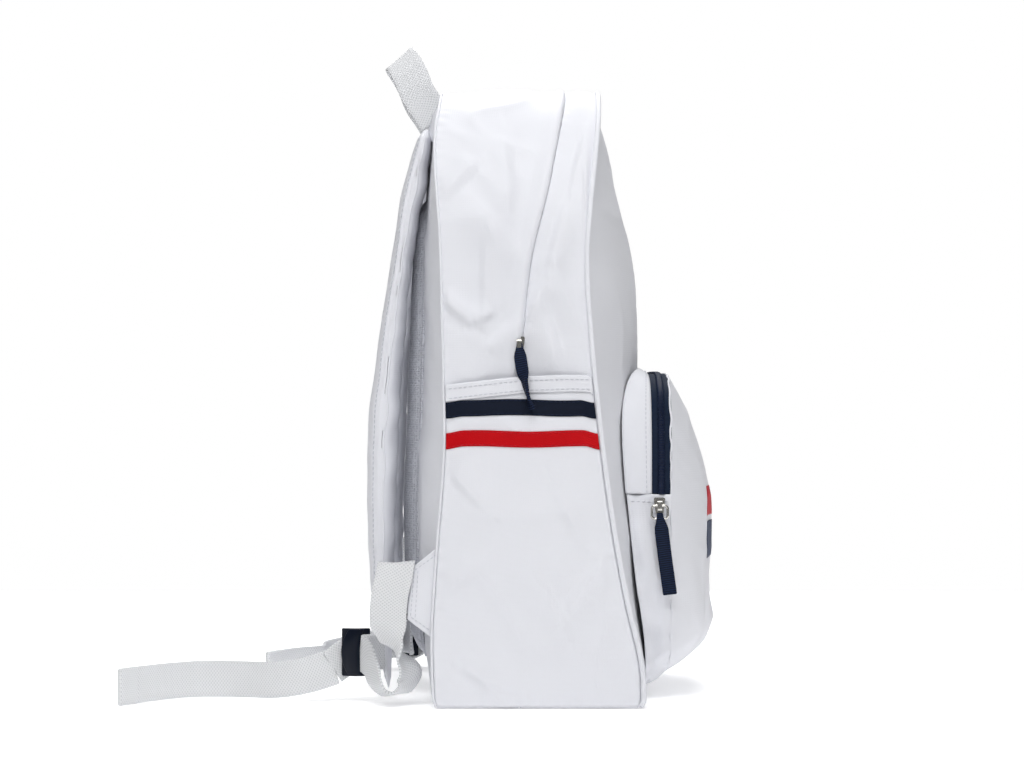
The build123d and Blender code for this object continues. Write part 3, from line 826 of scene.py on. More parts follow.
zip_halves = (
    ("rear", zip_place(-0.2, 9.0, 1.4), 9, zip_place(-0.2, 9.0, 1.2), 0.08, "bag"),
    ("front", zip_place(-11.0, -0.9, 1.5), 10, zip_place(-11.0, -0.9, 1.2), 0.92, BLEND_FLAP),
)
for half, tape_place, tape_width, teeth_place, row, rides in zip_halves:
    half_tape = lay_cloth(
        f"main_zip_tape_{half}_cloth", 260, 4, tape_place, (ZIP_RUN, tape_width), 0.6, (0, -10, 150)
    )
    finish_piece(half_tape, zip_tape, "zip_tape", rides, f"main_zip_tape_{half}")
    lay_teeth(f"main_zip_coil_{half}", teeth_place, 360, row, (2.2, 1.1, 1.5), rides)

# ---- slip pockets ----
hem_line = smooth_line(
    (-58, 219.5), (-55, 221), (-51, 224), (-13.5, 223.6), (-3.4, 223), (43, 217.8), (48, 217)
)
SLIP_LOW = 1.2
SLIP_HIGH = 222.0
SLIP_FOLDS = [
    (-37, 50, -20, 82, 1.4, 8), (-70, 108, -34, 62, 1.3, 8), (44, 164, 14, 132, 1.2, 8),
    (36, 28, -4, 12, 1.2, 7), (-30, 150, -48, 112, 1.0, 9), (50, 78, 22, 96, 1.0, 8),
]


def slip_y(u, z):
    return mix(front_seam(z) + 1.6, back_seam(z) - 0.8, u)


def slip_pocket_place(sign, lift=0.0):
    """Side pocket's outer cloth, from the front seam to the back seam."""
    def place(u, v):
        z = mix(SLIP_LOW, hem_line(slip_y(u, SLIP_HIGH)), v)
        y = slip_y(u, z)
        edge = min(u, 1 - u) * 100
        height = z / SLIP_HIGH
        belly = mix(2.2, 4.6, ramp(height, 0.05, 0.85)) * (1 - abs(2 * u - 1) ** 2.6)
        slack = 1.4 * rumple((y, sign * 3.0, z), 62, 2.8, 11.0 + sign) * ramp(edge, 2, 26)
        slack += crease(y, z, SLIP_FOLDS) * ramp(edge, 1, 10)
        slack += 0.5 * pucker(z, edge, 0.9, 14, 11) + 0.4 * pucker(y, z, 1.0, 16, 9)
        calm = 1 - 0.75 * ramp(height, 0.88, 0.97)
        off = 1.0 + belly + slack * calm + lift
        return sign * (HALF_WIDTH + max(off, 0.7)), y, z
    return place


def at_height(outer, u, z):
    """Point of the pocket's outer cloth at a height."""
    return outer(u, max(0.0, (z - SLIP_LOW) / (outer(u, 1.0)[2] - SLIP_LOW)))


def hem_place(sign):
    """Hem folded over the pocket's top edge: up the outside, over, and down the inside."""
    outer = slip_pocket_place(sign)

    def place(u, v):
        _, y, top = outer(u, 1.0)
        x = outer(u, 0.985)[0]
        if v < 0.5:
            z = top - 10.5 + v / 0.5 * 10.2
            near = at_height(outer, u, z)
            return near[0] + sign * 0.75, near[1], z
        if v < 0.75:
            turn = (v - 0.5) / 0.25 * pi
            return x + sign * (0.75 - 1.0 * (1 - cos(turn))), y, top - 0.3 + 1.0 * sin(turn)
        return x - sign * 1.25, y, top - 0.3 - (v - 0.75) / 0.25 * 10.0
    return place


def ribbon_place(sign, low, high):
    """Ribbon on the pocket; its ends droop a little into the seams."""
    outer = slip_pocket_place(sign, 0.55)

    def place(u, v):
        droop = -2.2 * (1 - ramp(u, 0.0, 0.10)) - 1.6 * (1 - ramp(1 - u, 0.0, 0.12))
        return at_height(outer, u, mix(low, high, v) + droop + 0.5 * sin(u * 9 + low))
    return place


def tab_place(sign):
    """Three-cornered tab in the back seam, which holds the lower webbing."""
    def place(u, v):
        low = Vector((0, mix(49, 71.0, u), mix(43, 60, u)))
        high = Vector((0, mix(49, 67.5, u), mix(110, 95, u)))
        p = low.lerp(high, v)
        out = 1.2 + 0.9 * (1 - (2 * v - 1) ** 2) + 0.3 * noise.noise(p / 9)
        return sign * (148.0 + out * 0.6), p.y, p.z
    return place


HEM_ROWS = (2.2, 8.6)
TAB_ROWS = [
    [(0.08, 0.07), (0.90, 0.09)], [(0.08, 0.93), (0.90, 0.91)],
    [(0.90, 0.09), (0.90, 0.91)], [(0.76, 0.12), (0.76, 0.88)],
]
# Colour, cloth, sewing thread, and the lower and upper edge's heights.
RIBBONS = (
    ("navy", navy_ribbon, navy_thread, 197.6, 208.4), ("red", red_ribbon, print_red, 176.6, 187.4)
)
for side, sign in SIDES:
    centre = (sign * 100, 0, 110)
    place = slip_pocket_place(sign)
    pocket = lay_cloth(f"slip_pocket_{side}_cloth", 90, 130, place, (110, 220), 1.0, centre)
    finish_piece(pocket, shell_cloth, "shell_cloth", "bag", f"side_pocket_{side}")
    hem = lay_cloth(
        f"slip_pocket_{side}_hem", 90, 28, hem_place(sign), (110, 24), 0.35, centre, offset=0.0
    )
    finish_piece(hem, shell_cloth, "shell_cloth", "bag")
    rows = []
    for drop in HEM_ROWS:
        shares = [0.02 + 0.96 * i / 30 for i in range(31)]
        line = [(u, 1 - drop / (place(u, 1.0)[2] - SLIP_LOW)) for u in shares]
        rows.append(seam_row(place, line, 1.05, centre))
    sew(f"slip_pocket_{side}_hem_stitches", rows, white_thread_painted_shade, "bag", "shell_cloth")

    for colour, cloth, thread, low, high in RIBBONS:
        on_pocket = ribbon_place(sign, low, high)
        ribbon = lay_cloth(
            f"ribbon_{colour}_{side}_tape", 90, 6, on_pocket, (108, 11), 0.55, centre
        )
        finish_piece(ribbon, cloth, f"{colour}_ribbon", "bag", f"ribbon_{colour}_{side}")
        rows = [seam_row(on_pocket, [(0.01, row), (0.99, row)], 0.1, centre) for row in (0.1, 0.9)]
        sew(f"ribbon_{colour}_{side}_stitches", rows, thread, "bag", f"{colour}_ribbon", 3.0, 2.2, 0.2)

    on_tab = tab_place(sign)
    tab = lay_cloth(f"seam_tab_{side}_cloth", 20, 36, on_tab, (22, 60), 2.2, centre)
    apply_modifier(tab, "BEVEL", width=0.6 * MM, segments=2, limit_method="ANGLE")
    finish_piece(tab, shell_cloth, "shell_cloth", "bag", f"seam_tab_{side}")
    rows = [seam_row(on_tab, row, 0.15, centre) for row in TAB_ROWS]
    sew(f"seam_tab_{side}_stitches", rows, white_thread_painted_shade, "bag", "shell_cloth", 3.0, 2.2, 0.28)

# ---- padded back ----
PAD_HALF = 84.0
PAD_LOW = 26.0
PAD_HIGH = 352.0
PAD_CHANNEL = 32.0


def pad_place(u, v):
    """Outer face of the back pad: three upright cushions with sewn channels between them."""
    across = 2 * u - 1
    along = 2 * v - 1
    corner = ramp(abs(across), 0.72, 1.0) * ramp(abs(along), 0.84, 1.0)
    x = across * PAD_HALF - (1 if across > 0 else -1) * 9 * corner
    z = mix(PAD_LOW, PAD_HIGH, v) - (1 if along > 0 else -1) * 9 * corner
    y = bowed(back_seam, back_middle, x, z)
    rim = min((1 - abs(across)) * PAD_HALF, (1 - abs(along)) * (PAD_HIGH - PAD_LOW) / 2)
    swell = 6.4 * sqrt(min(max(rim - 4, 0) / 14, 1)) + 0.9 * ramp(rim, 0, 2)
    channel = min(abs(abs(x) - PAD_CHANNEL), 30)
    dip = 4.6 * (1 - ramp(channel, 0.5, 9))
    swell = max(swell - dip * ramp(rim, 4, 16), 0.6)
    swell += 0.5 * noise.noise(Vector((x / 24, 1.5, z / 30))) * ramp(rim, 3, 20)
    return x, y + swell + 0.4, z


back_pad = lay_cloth("back_pad_quilted", 130, 210, pad_place, (168, 326), 1.6, BAG_MIDDLE)
finish_piece(back_pad, pad_mesh_painted_shade, "webbing", "bag", "back_pad_cover", "back_pad_foam")
rim = (0.018, 0.012)
corners = [rim, (rim[0], 1 - rim[1]), (1 - rim[0], 1 - rim[1]), (1 - rim[0], rim[1]), rim]
pad_rows = list(zip(corners, corners[1:]))
for u in (0.5 - PAD_CHANNEL / PAD_HALF / 2, 0.5 + PAD_CHANNEL / PAD_HALF / 2):
    pad_rows.append(((u, 0.04), (u, 0.96)))
sew("back_pad_stitches", [seam_row(pad_place, row, 0.2, BAG_MIDDLE) for row in pad_rows],
    white_thread_painted_shade, "bag", "shell_cloth", 4.2, 3.0, 0.35)


PATCH_HALF = 86.0
PATCH_LOW = 388.0
PATCH_HIGH = 411.0


def patch_place(u, v):
    """Reinforcing strip across the top of the back, over the ends of the straps and the loop."""
    x = (2 * u - 1) * PATCH_HALF
    z = mix(PATCH_LOW, PATCH_HIGH, v)
    rim = min(PATCH_HALF - abs(x), (0.5 - abs(v - 0.5)) * (PATCH_HIGH - PATCH_LOW))
    over_strap = 2.4 * ramp(abs(x), 38, 46) * (1 - 0.3 * v)
    over_loop = 1.5 * (1 - ramp(abs(abs(x) - 34), 12, 17)) * (1 - ramp(abs(x), 44, 48))
    lift = 1.2 + (over_strap + over_loop) * ramp(rim, 0, 4) + 0.8 * ramp(rim, 0, 1.5)
    return x, bowed(back_seam, back_middle, x, z) + lift, z


patch = lay_cloth("strap_patch_cloth", 120, 24, patch_place, (172, 23), 1.2, (0, 0, 380))
finish_piece(patch, shell_cloth, "shell_cloth", "bag", "strap_patch")
patch_rows = [
    [(0.02, 0.12), (0.98, 0.12)], [(0.02, 0.88), (0.98, 0.88)],
    [(0.02, 0.12), (0.02, 0.88)], [(0.98, 0.12), (0.98, 0.88)],
    [(0.24, 0.12), (0.38, 0.88)], [(0.24, 0.88), (0.38, 0.12)],
    [(0.62, 0.12), (0.76, 0.88)], [(0.62, 0.88), (0.76, 0.12)],
]
sew("strap_patch_stitches", [seam_row(patch_place, row, 0.2, (0, 0, 380)) for row in patch_rows],
    white_thread_painted_shade, "bag", "shell_cloth", 3.2, 2.3, 0.3)


# ---- shoulder straps ----
strap_outer = smooth_line(
    (397, 64), (372, 72), (346, 78), (262, 91), (194, 100), (150, 101), (108, 100), (70, 98),
    (45, 95), (28, 92), (7, 87.5),
)
strap_inner = smooth_line(
    (397, 56), (372, 58), (356, 60.5), (341, 65), (314, 68.5), (290, 72.5), (260, 75), (230, 78),
    (165, 81), (110, 83), (50, 84), (7, 84.5),
)
strap_width = smooth_line(
    (397, 56), (300, 58), (90, 58), (62, 52), (35, 38), (12, 27), (7, 25)
)
STRAP_FAR = 102.0
STRAP_TOP = 398.0
STRAP_FOOT = 7.0


def strap_place(sign):
    """Closed ring of the padded strap: round face outwards, seam behind it, then the inner face."""
    def place(u, v):
        end = min(v, 1 - v) * 60
        z = mix(STRAP_FOOT, STRAP_TOP, v)
        width = strap_width(z)
        middle_x = sign * (STRAP_FAR - width / 2)
        outer, inner = strap_outer(z), strap_inner(z)
        deep = outer - inner
        angle = 2 * pi * u
        across, out = cos(angle), sin(angle)
        squared = (abs(across) ** 3.0 + abs(out) ** 3.0) ** (-1 / 3.0)
        px = across * squared * width / 2
        py = out * squared * deep / 2
        seam_gap = abs(py - (deep / 2 - 5.5)) if deep > 13 else 9
        pinch = 0.9 * (1 - ramp(seam_gap, 0, 1.6)) * ramp(abs(px), width * 0.30, width * 0.44)
        if out < 0:
            fold = 1.6 * noise.noise(Vector((px / 55, 4.0 + sign, z / 13))) * ramp(deep, 8, 18)
        else:
            fold = 0.9 * noise.noise(Vector((px / 50, 8.0 + sign, z / 24))) * ramp(deep, 6, 16)
        crown = 1.2 * (1 - (2 * px / width) ** 2) * ramp(deep, 6, 16)
        closing = sqrt(min(end / 1.2, 1)) if end < 1.2 else 1
        x = middle_x + (px - pinch * (1 if px > 0 else -1)) * closing
        bulge = crown - 0.6 if out > 0 else -0.3 * crown
        y = (outer + inner) / 2 + (py + bulge + fold) * closing
        return x, y, z
    return place


def close_tube():
    """Joins the long seam of a rolled grid, in edit mode, and closes its ends."""
    bpy.ops.mesh.remove_doubles(threshold=0.02 * MM)
    bpy.ops.mesh.select_all(action="DESELECT")
    bpy.ops.mesh.select_non_manifold()
    bpy.ops.mesh.edge_face_add()
    bpy.ops.mesh.select_all(action="SELECT")
    bpy.ops.mesh.normals_make_consistent(inside=False)


for side, sign in SIDES:
    place = strap_place(sign)
    middle = (sign * 73, 82, 200)
    swing = ("bag", f"strap_{side}", (sign * 0.073, 0.063, 0.399), (sign * 0.073, 0.072, 0.365))
    strap = lay_cloth(f"strap_{side}_padded", 72, 260, place, (150, 400), 0, middle)
    edit_mesh(strap, close_tube)
    finish_piece(
        strap, shell_cloth, "shell_cloth", swing, f"strap_cover_{side}", f"strap_foam_{side}"
    )
    rows = []
    for turn in (0.085, 0.415):
        line = [(turn, 0.02 + 0.96 * i / 40) for i in range(41)]
        rows.append(seam_row(place, line, 0.3, middle))
    sew(f"strap_{side}_stitches", rows, white_thread_painted_shade, swing, "shell_cloth", 3.6, 2.6, 0.34)
    for edge, turn in (("inner", 0.965), ("outer", 0.535)):
        edge_line = [Vector(place(turn, 0.012 + 0.976 * i / 160)) * MM for i in range(161)]
        edge_cord = lay_tube(f"strap_{side}_seam_{edge}", edge_line, 0.75, 8)
        finish_piece(edge_cord, shell_cloth, "shell_cloth", swing)

# ---- lock tapes and adjusting webbing ----
# Each lock's bar in millimetres and the way the lock points from it, in degrees about +Z.
lock_bars = {"left": (-108.0, 99.5, 34.0, 90.0), "right": (106.5, 86.5, 25.5, -52.0)}
tape_routes = {
    "left": [(-0.098, 0.0860, 0.034), (-0.1035, 0.0895, 0.034), (-0.1070, 0.0950, 0.034),
             (-0.1135, 0.0985, 0.034), (-0.1140, 0.1030, 0.034)],
    "right": [(0.094, 0.0770, 0.0255), (0.099, 0.0800, 0.0255), (0.1035, 0.0835, 0.0255),
              (0.1085, 0.0885, 0.0255), (0.1125, 0.0880, 0.0255)],
}
wrap_routes = {
    "left": [(-0.1040, 0.1030, 0.0340), (-0.1045, 0.1110, 0.0325), (-0.1060, 0.1180, 0.0280),
             (-0.1091, 0.1240, 0.0235)],
    "right": [(0.1040, 0.0800, 0.0255), (0.1090, 0.0760, 0.0245), (0.1160, 0.0800, 0.0215),
              (0.1181, 0.0925, 0.0195)],
}
# Adjusting webbing: over the tab alike on both sides, then down and round to its own lock.
loop_start = [
    (0.1470, 0.0790, 0.078), (0.1476, 0.0780, 0.092), (0.1495, 0.0780, 0.1005),
    (0.1518, 0.0790, 0.092), (0.1512, 0.0830, 0.076), (0.1495, 0.0840, 0.060),
    (0.1470, 0.0830, 0.046),
]
loop_ends = {
    "left": [(-0.1425, 0.0770, 0.034), (-0.1395, 0.0685, 0.022), (-0.1375, 0.0715, 0.0112),
             (-0.1355, 0.0810, 0.0076), (-0.1330, 0.0905, 0.0117), (-0.1280, 0.0955, 0.022),
             (-0.1210, 0.0990, 0.032), (-0.1125, 0.1045, 0.034)],
    "right": [(0.1435, 0.0780, 0.034), (0.1415, 0.0705, 0.022), (0.1395, 0.0725, 0.0112),
              (0.1370, 0.0800, 0.0076), (0.1345, 0.0850, 0.0122), (0.1310, 0.0870, 0.018),
              (0.1250, 0.0870, 0.024), (0.1150, 0.0840, 0.0255)],
}
loop_sides = [
    (0, 0.96, -0.28), (0, 0.96, -0.28), (0, 0.96, -0.28), (0, 0.97, -0.2), (0, 1, -0.1),
    (0.1, 1, 0), (0.75, 0.65, 0), (0.97, -0.1, 0.1), (0.78, -0.62, 0), (0.9, -0.3, -0.2),
    (0.97, 0, -0.12), (0.9, 0.25, -0.3), (0.6, 0.2, -0.75), (0.15, 0.05, -1), (0, 0, -1),
]


def leaf_place(side):
    """Crescent leaf, high in the middle and closing to its ends, following the lock's bow."""
    bar_x, bar_y, bar_z, heading = lock_bars[side]
    ahead = Vector((cos(radians(heading)), sin(radians(heading)), 0))
    outer = Vector((-sin(radians(heading)), cos(radians(heading)), 0))

    def place(u, v):
        rise = 2 * v - 1
        lean = 2.6 * (1 - rise ** 2)
        along = mix(3.0 + lean * 0.9, 12.5 + lean * 2.1, u)
        bow = 4.4 * (1 - ((along - 9) / 9.6) ** 2)
        puff = 1.1 * (1 - (2 * u - 1) ** 2) * (1 - rise ** 4)
        here = Vector((bar_x, bar_y, bar_z)) + ahead * along + outer * (bow + 0.7 + puff)
        return here.x, here.y, bar_z + rise * 16.2
    return place


for side, sign in SIDES:
    tape, _ = lay_band(f"lock_tape_{side}", tape_routes[side], [UP] * 5, WEBBING, 1.8)
    finish_piece(tape, webbing_cloth, "webbing", f"strap_{side}", f"strap_tape_{side}")
    route = [(sign * x, y, z) for x, y, z in loop_start] + loop_ends[side]
    sides = [(-sign * x, y, z) for x, y, z in loop_sides]
    loop, _ = lay_band(
        f"adjusting_webbing_{side}", route, sides, WEBBING, WEBBING_THICK, wave=0.5
    )
    reach = ("bag", f"strap_{side}", (sign * 0.147, 0.09, 0.03), (sign * 0.113, 0.09, 0.03))
    finish_piece(loop, webbing_cloth, "webbing", reach, f"webbing_loop_{side}")
    # The tail's webbing comes out of the lock's last slot, from behind it.
    route = wrap_routes[side]
    wrap, _ = lay_band(f"lock_webbing_{side}", route, [UP] * 4, WEBBING, WEBBING_THICK)
    finish_piece(
        wrap, webbing_cloth, "webbing", (f"strap_{side}", f"lock_{side}", route[3], route[1])
    )
    # Moulded thumb leaf over the lock's slots.
    leaf = lay_cloth(
        f"lock_leaf_{side}", 24, 40, leaf_place(side), (18, 33), 1.5, lock_bars[side][:3], offset=0.0
    )
    apply_modifier(leaf, "BEVEL", width=0.5 * MM, segments=2, limit_method="ANGLE")
    finish_piece(leaf, lock_plastic, "lock_plastic", f"lock_{side}")

# ---- haul loop ----
haul_half = [
    (0.034, 0.0545, 0.406), (0.0365, 0.0600, 0.4165), (0.0370, 0.0680, 0.4270),
    (0.0365, 0.0720, 0.4390), (0.0345, 0.0780, 0.4500), (0.0200, 0.0820, 0.4545),
]
haul_half_sides = [
    (0, 0.45, -0.9), (0, 0.7, -0.7), (0.05, 0.84, -0.54), (0.05, 0.86, -0.5), (0, 0.84, -0.54),
    (0, 0.75, -0.66),
]
haul_route = [(-x, y, z) for x, y, z in haul_half] + haul_half[::-1]
haul, _ = lay_band(
    "haul_loop_webbing", haul_route, haul_half_sides + haul_half_sides[::-1], WEBBING, 2.0, crown=0.4
)
haul_bend = ("bag", "haul_loop", (0, 0.060, 0.410), (0, 0.072, 0.436))
finish_piece(haul, webbing_cloth, "webbing", haul_bend, "haul_loop")

# ---- front pocket ----
POCKET_HALF = 115.0
POCKET_LOW = 26.0
POCKET_HIGH = 227.0
POCKET_MIDDLE = 121.0
POCKET_BELLY = 33.5
TAPE_BACK = -96.3
TAPE_FRONT = -109.6
ZIP_START = 143.0


def pocket_edge(direction):
    """Point (x, z) where a ray from the pocket's middle meets its outline; 0 is straight up."""
    ax, az = sin(direction), cos(direction)
    reach_z = POCKET_HIGH - POCKET_MIDDLE if az > 0 else POCKET_MIDDLE - POCKET_LOW
    power = 5.0 if az > 0 else 6.0
    size = (abs(ax / POCKET_HALF) ** power + abs(az / reach_z) ** power) ** (-1 / power)
    x, z = ax * size, POCKET_MIDDLE + az * size
    if z < 60:
        z -= 13 * (1 - min(abs(x) / POCKET_HALF, 1) ** 2) * ramp(60 - z, 0, 34)
    return x, z


def on_outline(direction, y, grow=0.0):
    """Point on the pocket's outline at a depth, grown outwards in millimetres."""
    x, z = pocket_edge(direction)
    out = Vector((x, 0, z - POCKET_MIDDLE)).normalized()
    return Vector((x, y, z)) + out * grow


def direction_at(height):
    """Direction of the outline point at a height on the pocket's right side."""
    low, high = 0.0, pi
    for _ in range(40):
        middle = (low + high) / 2
        if pocket_edge(middle)[1] > height:
            low = middle
        else:
            high = middle
    return low


ZIP_END = direction_at(ZIP_START)


def upper_direction(u):
    return (2 * u - 1) * ZIP_END


def lower_direction(u):
    return ZIP_END + u * (2 * pi - 2 * ZIP_END)


def pocket_rear_place(u, v):
    direction = upper_direction(u)
    x, z = pocket_edge(direction)
    spread = 3.5 * (1 - v)
    start = bowed(front_seam, front_middle, x, z) - 0.6
    off = 0.8 * sin(v * pi) + 0.3 * noise.noise(Vector((u * 14, v, 1)))
    return on_outline(direction, mix(start, TAPE_BACK, v), spread + off)


def pocket_lower_place(u, v):
    """Cloth round the pocket's lower part, gathered where it meets the zipper and the panel."""
    direction = lower_direction(u)
    x, z = pocket_edge(direction)
    start = bowed(front_seam, front_middle, x, max(z - 9, 4)) - 0.6
    drop = 9.0 * (1 - v) * ramp(POCKET_LOW + 30 - z, 0, 30)
    edge = min(v, 1 - v) * 22
    gather = 1.5 * sin(u * 118 + 2.6 * sin(u * 17)) * (0.35 + 0.65 * abs(1 - 2 * v))
    soft = 3.4 * noise.noise(Vector((x / 26, z / 26, v * 2.0))) * ramp(edge, 0, 6)
    p = on_outline(direction, mix(start, TAPE_FRONT, v), 2.2 * (1 - v) + gather * 0.6 + soft)
    return p.x, p.y, max(p.z - drop, 3.5)


def dome_place(u, v):
    """Front of the pocket: full and round, slumped low, v from its edge to its middle."""
    direction = (2 * u - 1) * pi
    edge = on_outline(direction, TAPE_FRONT)
    share = 1 - v
    upward = max(cos(direction), 0)
    downward = max(-cos(direction), 0)
    power = 2.6 - 0.25 * upward ** 2 + 3.4 * downward ** 2
    x = edge.x * share
    z = POCKET_MIDDLE + (edge.z - POCKET_MIDDLE) * share - 22 * (1 - share ** 2) * 0.55
    deep = POCKET_BELLY * (1 - share ** power)
    inside = v * 105
    off = 1.5 * rumple((x, 3.0, z), 52, 3.0, 21.0) * ramp(inside, 0, 30)
    off += pucker(abs(direction) * 100, inside, mix(0.7, 1.2, downward), 24, 15)
    slump = noise.noise(Vector((x / 19, 2.0, z / 34))) * ramp(downward, 0.02, 0.6)
    off += 4.6 * slump * ramp(inside, 4, 20) * (1 - ramp(inside, 45, 80))
    return x, min(TAPE_FRONT - deep - off * 0.8, TAPE_FRONT), z


def rear_tape_place(u, v):
    return on_outline(upper_direction(u), mix(TAPE_BACK + 0.5, -102.4, v), -0.5)


def front_tape_place(u, v):
    return on_outline(upper_direction(u), mix(-103.2, TAPE_FRONT - 0.4, v), -0.5)


def coil_place(u, v):
    return on_outline(upper_direction(u), mix(-105.8, -99.8, v), 0.3)


pocket_centre = (0, -100, POCKET_MIDDLE)
# Piece, grid, surface, size, thickness, material, slot, body and CAD node.
for name, columns, rows, place, size, thickness, cloth, slot, rides, node in (
    ("pocket_gusset_rear_cloth", 220, 10, pocket_rear_place, (560, 12), 1.0,
     shell_cloth, "shell_cloth", "bag", "pocket_gusset"),
    ("pocket_gusset_lower_cloth", 300, 22, pocket_lower_place, (430, 20), 1.0,
     shell_cloth, "shell_cloth", "bag", "pocket_gusset_lower"),
    ("pocket_zip_tape_rear_cloth", 220, 5, rear_tape_place, (560, 6.5), 0.6,
     zip_tape, "zip_tape", "bag", "pocket_tape_rear"),
    ("pocket_zip_tape_front_cloth", 220, 5, front_tape_place, (560, 6.5), 0.6,
     zip_tape, "zip_tape", BLEND_POCKET, "pocket_tape_front"),
):
    piece = lay_cloth(name, columns, rows, place, size, thickness, pocket_centre)
    finish_piece(piece, cloth, slot, rides, node)

pocket_front = lay_cloth("pocket_front_cloth", 300, 110, dome_place, (600, 110), 0, pocket_centre)
edit_mesh(pocket_front, lambda: bpy.ops.mesh.remove_doubles(threshold=0.01 * MM))
# Its weave runs straight across and up, so its UV is its own width and height.
front_uv = pocket_front.data.uv_layers.active.data
for corner in pocket_front.data.loops:
    spot = pocket_front.data.vertices[corner.vertex_index].co
    front_uv[corner.index].uv = (spot.x / MM, spot.z / MM)
apply_modifier(pocket_front, "SOLIDIFY", thickness=SHELL_THICK * MM, offset=-1.0)
finish_piece(
    pocket_front, shell_cloth, "shell_cloth", BLEND_POCKET, "pocket_front_lower", "pocket_front_upper"
)
lay_teeth(
    "pocket_zip_teeth", coil_place, 330, 0.5, (4.6, 1.15, 1.7), "bag", "pocket_zip_coil"
)
sew("pocket_gusset_stitches", [
    seam_row(pocket_rear_place, [(i / 40, 0.80) for i in range(41)], 0.25, pocket_centre),
    seam_row(pocket_lower_place, [(0.012, 0.06), (0.012, 0.94)], 0.25, pocket_centre),
    seam_row(pocket_lower_place, [(0.988, 0.06), (0.988, 0.94)], 0.25, pocket_centre),
], white_thread_painted_shade, "bag", "shell_cloth", 3.4, 2.4, 0.28)


# ---- plain screen-printed badge: a red bar above a navy block with a ring on it ----
def on_dome(x, z, lift):
    """Point just outside the pocket's front, lift millimetres off it."""
    _, point, _, _ = pocket_front.ray_cast(Vector((x, -200, z)) * MM, Vector((0, 1, 0)))
    return x, point.y / MM - lift, z


def print_place(x0, x1, z0, z1):
    def place(u, v):
        return on_dome(mix(x0, x1, u), mix(z0, z1, v), 0.25)
    return place


def ring_place(u, v):
    angle = 2 * pi * u
    radius = mix(7.6, 9.6, v)
    return on_dome(radius * cos(angle), 109 + radius * sin(angle), 0.5)


BADGE_INSIDE = (0, -60, 120)
for colour, ink, area in (
    ("red", print_red, (-64, 64, 126, 147)), ("navy", print_navy, (-64, 64, 96, 122))
):
    badge = lay_cloth(
        f"pocket_badge_{colour}", 130, 30, print_place(*area), (140, 25), 0.2, BADGE_INSIDE, offset=0.0
    )
    finish_piece(badge, ink, f"{colour}_ribbon", BLEND_POCKET)
badge_ring = lay_cloth(
    "pocket_badge_ring", 60, 4, ring_place, (54, 2), 0.16, BADGE_INSIDE, offset=0.0
)
finish_piece(badge_ring, white_thread_painted_shade, "shell_cloth", BLEND_POCKET)

# ---- pull tapes ----
def pull_taper(v):
    return mix(0.42, 1.0, ramp(v, 0.0, 0.22))


main_pull_route = [
    (-0.1548, -0.0050, 0.2465), (-0.1572, -0.0052, 0.2400), (-0.1586, -0.0066, 0.2300),
    (-0.1592, -0.0086, 0.2190), (-0.1596, -0.0110, 0.2100), (-0.1598, -0.0136, 0.2020),
]
main_pull_sides = [
    (0, 1, 0), (0.05, 1, 0), (0.3, 0.95, 0.1), (0.9, 0.35, 0.2), (1, 0.1, 0.2), (0.9, 0.4, 0.2)
]
pocket_pull_route = [
    (-0.1205, -0.1013, 0.1305), (-0.1212, -0.1020, 0.1240), (-0.1216, -0.1042, 0.1050),
    (-0.1212, -0.1066, 0.0880), (-0.1205, -0.1085, 0.0745),
]
pocket_pull_sides = [(0, 1, 0)] * 4 + [(0.2, 1, 0)]
for node, route, sides, width in (
    ("main_pull", main_pull_route, main_pull_sides, 8.5),
    ("pocket_pull", pocket_pull_route, pocket_pull_sides, 9.6),
):
    pull, _ = lay_band(f"{node}_tape", route, sides, width, 2.2, taper=pull_taper)
    finish_piece(pull, navy_tape, "navy_tape", node, node)

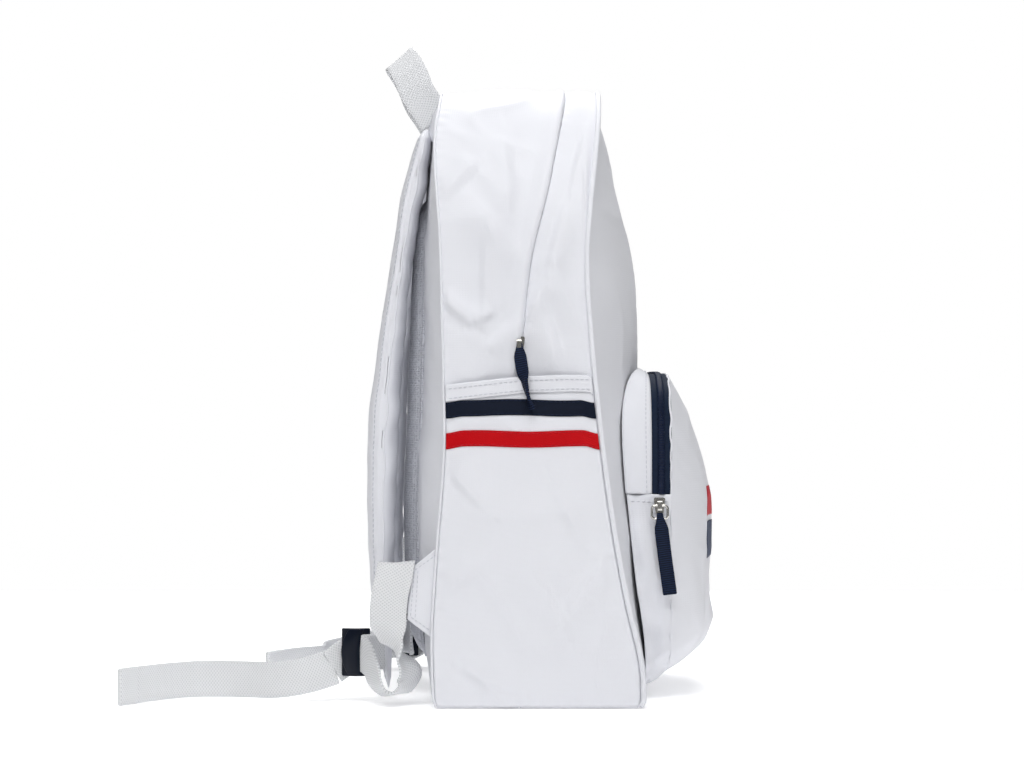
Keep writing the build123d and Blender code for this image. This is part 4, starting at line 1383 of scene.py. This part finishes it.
# ---- hard parts keep their own shapes ----
for node, finish in (
    ("ladder_lock_left", lock_plastic), ("ladder_lock_right", lock_plastic), ("main_slider", nickel),
    ("pocket_slider", nickel), ("pocket_ring", nickel), ("base_board", board),
):
    hard = bpy.data.objects[node]
    hard.data.materials.clear()
    hard.data.materials.append(finish)

# ---- floor, sky and lights ----
bpy.ops.object.select_all(action="DESELECT")
bpy.ops.mesh.primitive_plane_add(size=1.8, location=(0, 0, -0.0005))
floor = bpy.context.object
floor.name = "floor"
floor_paint, floor_shader = new_material("white studio floor", "#FFFFFF", 0.9, Emission_Strength=0.3)
floor_shader.inputs["Emission Color"].default_value = linear("#FFFFFF")
floor.data.materials.append(floor_paint)

world = bpy.data.worlds.new("studio")
bpy.context.scene.world = world
world.use_nodes = True
# Backdrop seen as pure white; the same sky lights the bag more gently.
sky = world.node_tree
background = sky.nodes["Background"]
background.inputs["Color"].default_value = linear("#FFFFFF")
seen = sky.nodes.new("ShaderNodeLightPath")
strength = sky.nodes.new("ShaderNodeMapRange")
strength.inputs["To Min"].default_value = 0.22
strength.inputs["To Max"].default_value = 1.0
sky.links.new(seen.outputs["Is Camera Ray"], strength.inputs["Value"])
sky.links.new(strength.outputs["Result"], background.inputs["Strength"])
bpy.context.scene.view_settings.view_transform = "Standard"


def add_light(name, place, aim, size, power):
    data = bpy.data.lights.new(name, "AREA")
    data.shape = "RECTANGLE"
    data.size, data.size_y = size
    data.energy = power
    lamp = bpy.data.objects.new(name, data)
    lamp.location = place
    lamp.visible_camera = False
    lamp.rotation_euler = (Vector(aim) - Vector(place)).to_track_quat("-Z", "Y").to_euler()
    bpy.context.scene.collection.objects.link(lamp)


add_light("key_softbox", (-0.85, 0.0, 1.25), (0, 0, 0.25), (0.9, 0.7), 13.2)
add_light("far_softbox", (0.85, 0.0, 1.25), (0, 0, 0.25), (0.9, 0.7), 13.2)
add_light("front_softbox", (0, -1.6, 1.8), (0, 0, 0.2), (1.2, 0.8), 2)
add_light("back_softbox", (0, 1.6, 1.8), (0, 0, 0.2), (1.2, 0.8), 2)

bpy.context.view_layer.update()
